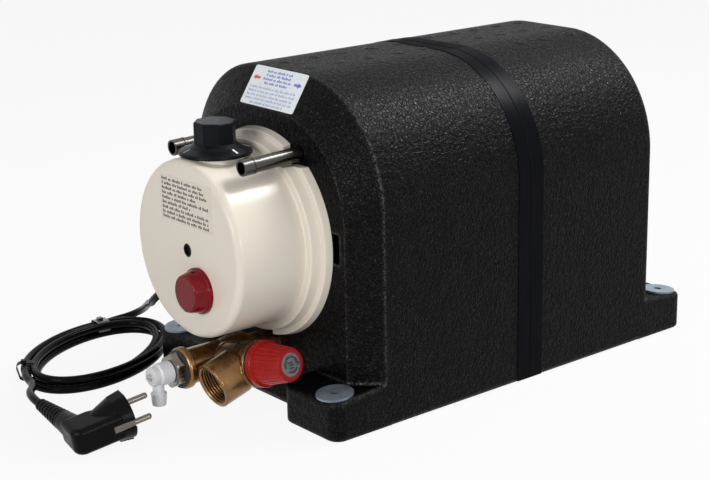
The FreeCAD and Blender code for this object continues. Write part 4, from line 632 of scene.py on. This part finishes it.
def make_flow_label():
    place = on_node("front_shell", LABEL_CENTRE, EAST, LABEL_UP)
    film = slab(rectangle(0, 0, LABEL_WIDTH, LABEL_HEIGHT, 14, 3, 2.0), place, 0.12, LABEL_FACE)
    mesh_piece("flow_label", *film, paper, slot_name="cover")
    for name, heading, finish, slot_name in (("flow_label_hot_arrow", -1, red_ink, "red_cap"),
                                             ("flow_label_cold_arrow", 1, blue_ink, "tie_dark")):
        cells = arrow(heading * ARROW_PLACE[0], ARROW_PLACE[1], *ARROW_SIZE, heading)
        mesh_piece(name, *slab(cells, place, LABEL_FACE, LABEL_FACE + 0.06), finish, slot_name=slot_name)
    strong = []
    for number, (row, half) in enumerate(STRONG_ROWS):
        strong += word_marks(number, -half, half, row, 2.2)
    faint = []
    for number, (row, half) in enumerate(FAINT_ROWS):
        faint += word_marks(number + 1, -half, half, row, 1.9)
    for name, marks, finish in (("flow_label_strong_lines", strong, blue_ink),
                                ("flow_label_faint_lines", faint, pale_blue_ink)):
        mesh_piece(name, *slab(marks, place, LABEL_FACE, LABEL_FACE + 0.04), finish, slot_name="tie_dark")


# Ridge where the seam lies under the tape

SEAM_Y = 6.0
RIDGE_PROFILE = ((-0.8, -0.1), (-0.3, 0.25), (0.3, 0.25), (0.8, -0.1))
RIDGE_STEPS = 130
RIDGE_FIRST_DEG = -38
RIDGE_SPAN_DEG = 256


def make_seam_ridge():
    tree = surface_tree("seam_tape")
    hub = at(0, SEAM_Y, 100.0)
    vertices = []
    for step in range(RIDGE_STEPS + 1):
        angle = math.radians(RIDGE_FIRST_DEG + step * RIDGE_SPAN_DEG / RIDGE_STEPS)
        out = Vector((math.cos(angle), 0, math.sin(angle)))
        place, normal = tree.ray_cast(hub + out * 0.4, -out)[:2]
        if place is None:
            continue
        for y, height in RIDGE_PROFILE:
            vertices.append(place + normal * height * MM + NORTH * y * MM)
    faces = swept_faces(len(vertices), len(RIDGE_PROFILE))
    mesh_piece("seam_ridge", vertices, faces, tape, slot_name="tape", smooth=True)


# Moulding vents on the top of the foam

VENT_RADIUS = 4.1
VENT_RIM = 4.8
VENT_SINK = -0.05
HOUSING_TOP = 271


def make_moulding_vents():
    places = [("front_shell", x, -133 + 30.5 * step) for x in (-21, 13) for step in range(5)]
    places += [("rear_shell", x, 31 + 27.5 * step) for x in (-28, 7) for step in range(5)]
    places += [("rear_shell", 44, y) for y in (72, 99, 134)]
    parts = []
    for node, x, y in places:
        place = on_node(node, at(x, y, HOUSING_TOP), EAST, NORTH)
        parts.append(slab(ring_cells(VENT_RADIUS, VENT_RIM, 0, 360, 20), place, VENT_SINK, 0.22))
        for offset in (-2.4, -0.8, 0.8, 2.4):
            length = 2 * math.sqrt(VENT_RADIUS ** 2 - offset ** 2)
            parts.append(slab(rectangle(offset, 0, 0.7, length, 1, 3), place, VENT_SINK, 0.20))
    mesh_piece("moulding_vents", *joined(parts), black, slot_name="foam")


# Row of small beads pressed out where the sloping edge meets the front foot

BEAD_ROW = ((97.4, -158.7), (103.0, -157.8), (107.7, -157.0), (112.1, -155.5), (116.3, -153.9),
            (120.8, -152.3))
BEAD_HEIGHT = 33.2
BEAD_RADIUS = 1.7


def ball(centre, radius, rings=6, sides=10):
    """Small closed ball."""
    vertices = [centre + UP * radius]
    for ring in range(1, rings):
        tilt = math.pi * ring / rings
        for side in range(sides):
            turn = 2 * math.pi * side / sides
            out = Vector((math.sin(tilt) * math.cos(turn), math.sin(tilt) * math.sin(turn), math.cos(tilt)))
            vertices.append(centre + radius * out)
    vertices.append(centre - UP * radius)
    last = len(vertices) - 1
    faces = []
    for side in range(sides):
        after = (side + 1) % sides
        faces.append([0, 1 + side, 1 + after])
        for ring in range(rings - 2):
            start = 1 + ring * sides
            faces.append([start + side, start + sides + side, start + sides + after, start + after])
        faces.append([last, last - sides + after, last - sides + side])
    return vertices, faces


def make_bead_row():
    parts = [ball(at(x, y, BEAD_HEIGHT), BEAD_RADIUS * MM) for x, y in BEAD_ROW]
    mesh_piece("foot_beads", *joined(parts), foam, slot_name="foam", smooth=True)


# Marks on the thermostat knob

KNOB_CENTRE = at(0, -218.6, 230)
KNOB_MARKS = ((5.4, 1.7, 20.8, 26.6), (-101, 0.7, 21.5, 27.0), (-150, 0.7, 21.5, 27.0),
              (160, 0.7, 21.5, 27.0), (110, 0.7, 21.5, 27.0), (62, 0.7, 21.5, 27.0))


def make_knob_marks():
    parts = []
    for degrees, width, inner, outer in KNOB_MARKS:
        angle = math.radians(degrees)
        out = Vector((math.cos(angle), math.sin(angle), 0))
        place = on_node("knob", KNOB_CENTRE, out, UP.cross(out))
        parts.append(slab(rectangle((inner + outer) / 2, 0, outer - inner, width, 4), place, 0.0, 0.10))
    mesh_piece("knob_marks", *joined(parts), tick_white, body="control_knob", slot_name="white_nozzle")


# Thread inside the water port

PORT_MOUTH = at(31.2, -253.3, 34.4)
PORT_TILT = math.radians(17)
THREAD_PITCH = 2.309
THREAD_TURNS = 5.2
THREAD_STEPS = 56
THREAD_START = 2.4
THREAD_PROFILE = ((15.3, -1.0), (14.35, -0.22), (14.35, 0.22), (15.3, 1.0))


def make_port_thread():
    inward = Vector((0, math.cos(PORT_TILT), math.sin(PORT_TILT)))
    top = inward.cross(EAST)
    vertices = []
    for step in range(int(THREAD_TURNS * THREAD_STEPS) + 1):
        angle = 2 * math.pi * step / THREAD_STEPS
        out = EAST * math.cos(angle) + top * math.sin(angle)
        depth = THREAD_START + THREAD_PITCH * step / THREAD_STEPS
        for radius, offset in THREAD_PROFILE:
            vertices.append(PORT_MOUTH + (out * radius + inward * (depth + offset)) * MM)
    faces = swept_faces(len(vertices), len(THREAD_PROFILE))
    mesh_piece("port_thread", vertices, faces, brass, slot_name="brass")


# Printed arrow on the relief cap

RELIEF_TURN = math.radians(6.4)
RELIEF_RISE = math.radians(12.8)
BARREL_PLACE = at(31.2, -218.9, 45.3)
CAP_DISC_REACH = 53.7
PRINT_LOW = 0.02
PRINT_HIGH = 0.10


def make_cap_print():
    along = Vector((math.cos(RELIEF_TURN) * math.cos(RELIEF_RISE),
                    math.sin(RELIEF_TURN) * math.cos(RELIEF_RISE), math.sin(RELIEF_RISE)))
    origin = BARREL_PLACE + along * CAP_DISC_REACH * MM
    across = UP.cross(along).normalized()
    up = along.cross(across)
    place = flat_place(origin, across, up)
    arrow_head = [[(6.6, -2.2), (8.3, 0.4), (4.1, 3.0)]]
    parts = [slab(cells, place, PRINT_LOW, PRINT_HIGH)
             for cells in (ring_cells(5.6, 6.9, 20, 200, 18), ring_cells(5.6, 6.9, 235, 330, 10),
                           arrow_head, rectangle(-1.0, 1.8, 5.2, 1.1), rectangle(0.6, -0.4, 4.4, 1.1),
                           rectangle(-0.6, -2.6, 5.0, 1.1))]
    mesh_piece("relief_cap_print", *joined(parts), ink, body="relief_cap", slot_name="black_plastic")


make_rating_plate()
make_flow_label()
make_seam_ridge()
make_moulding_vents()
make_bead_row()
make_knob_marks()
make_port_thread()
make_cap_print()


# Floor, background and light

FLOOR_REACH = 6.0
FLOOR_GAP = 0.0002
FLOOR_GLOW = 0.91
FLOOR_GREY = 0.60
SOFT_STRENGTH = 0.26
BRIGHT_STRENGTH = 1.0


def math_node(tree, operation, first, second):
    made = tree.nodes.new("ShaderNodeMath")
    made.operation = operation
    tree.links.new(first, made.inputs[0])
    if isinstance(second, float):
        made.inputs[1].default_value = second
    else:
        tree.links.new(second, made.inputs[1])
    return made.outputs["Value"]


def straight_view(tree):
    """1 for a camera, transmission or glossy ray, else 0."""
    path = tree.nodes.new("ShaderNodeLightPath").outputs
    direct = math_node(tree, "MAXIMUM", path["Is Camera Ray"], path["Is Transmission Ray"])
    return math_node(tree, "MAXIMUM", direct, path["Is Glossy Ray"])


def mixed(tree, share, first, second, output_kind):
    mix = tree.nodes.new("ShaderNodeMixShader")
    output = tree.nodes.new(output_kind)
    tree.links.new(share, mix.inputs["Fac"])
    tree.links.new(first, mix.inputs[1])
    tree.links.new(second, mix.inputs[2])
    tree.links.new(mix.outputs["Shader"], output.inputs["Surface"])


def make_stage():
    data = bpy.data.meshes.new("floor")
    corners = [(-FLOOR_REACH, -FLOOR_REACH, 0), (FLOOR_REACH, -FLOOR_REACH, 0),
               (FLOOR_REACH, FLOOR_REACH, 0), (-FLOOR_REACH, FLOOR_REACH, 0)]
    data.from_pydata(corners, [], [(0, 1, 2, 3)])
    floor = bpy.data.objects.new("floor", data)
    floor.location.z = -FLOOR_GAP
    bpy.context.scene.collection.objects.link(floor)
    material = bpy.data.materials.new("floor")
    material.use_nodes = True
    tree = material.node_tree
    tree.nodes.clear()
    diffuse = tree.nodes.new("ShaderNodeBsdfDiffuse")
    diffuse.inputs["Color"].default_value = (FLOOR_GREY, FLOOR_GREY, FLOOR_GREY, 1)
    glow = tree.nodes.new("ShaderNodeEmission")
    share = math_node(tree, "MULTIPLY", straight_view(tree), FLOOR_GLOW)
    mixed(tree, share, diffuse.outputs["BSDF"], glow.outputs["Emission"], "ShaderNodeOutputMaterial")
    data.materials.append(material)


def background(tree, strength):
    made = tree.nodes.new("ShaderNodeBackground")
    made.inputs["Color"].default_value = (1, 1, 1, 1)
    made.inputs["Strength"].default_value = strength
    return made.outputs["Background"]


def make_world():
    world = bpy.data.worlds.new("studio")
    bpy.context.scene.world = world
    world.use_nodes = True
    tree = world.node_tree
    tree.nodes.clear()
    mixed(tree, straight_view(tree), background(tree, SOFT_STRENGTH), background(tree, BRIGHT_STRENGTH),
          "ShaderNodeOutputWorld")


def area_light(name, place, target, size, power):
    data = bpy.data.lights.new(name, "AREA")
    data.shape = "RECTANGLE"
    data.size, data.size_y = size
    data.energy = power
    lamp = bpy.data.objects.new(name, data)
    lamp.location = place
    lamp.rotation_euler = (Vector(target) - Vector(place)).to_track_quat("-Z", "Y").to_euler()
    bpy.context.scene.collection.objects.link(lamp)


# Name, place, target, size and power of each lamp
LAMPS = (
    ("top_light", (0.36, 0.80, 1.35), (0, 0, 0.15), (0.6, 0.5), 24.0),
    ("front_light", (0.38, -1.72, 0.60), (0, -0.1, 0.12), (0.75, 0.65), 12.5),
    ("right_light", (1.55, -0.35, 0.50), (0, -0.1, 0.14), (0.35, 0.30), 6.0),
)

make_stage()
make_world()
for lamp_facts in LAMPS:
    area_light(*lamp_facts)

bpy.context.scene.view_settings.view_transform = "Standard"
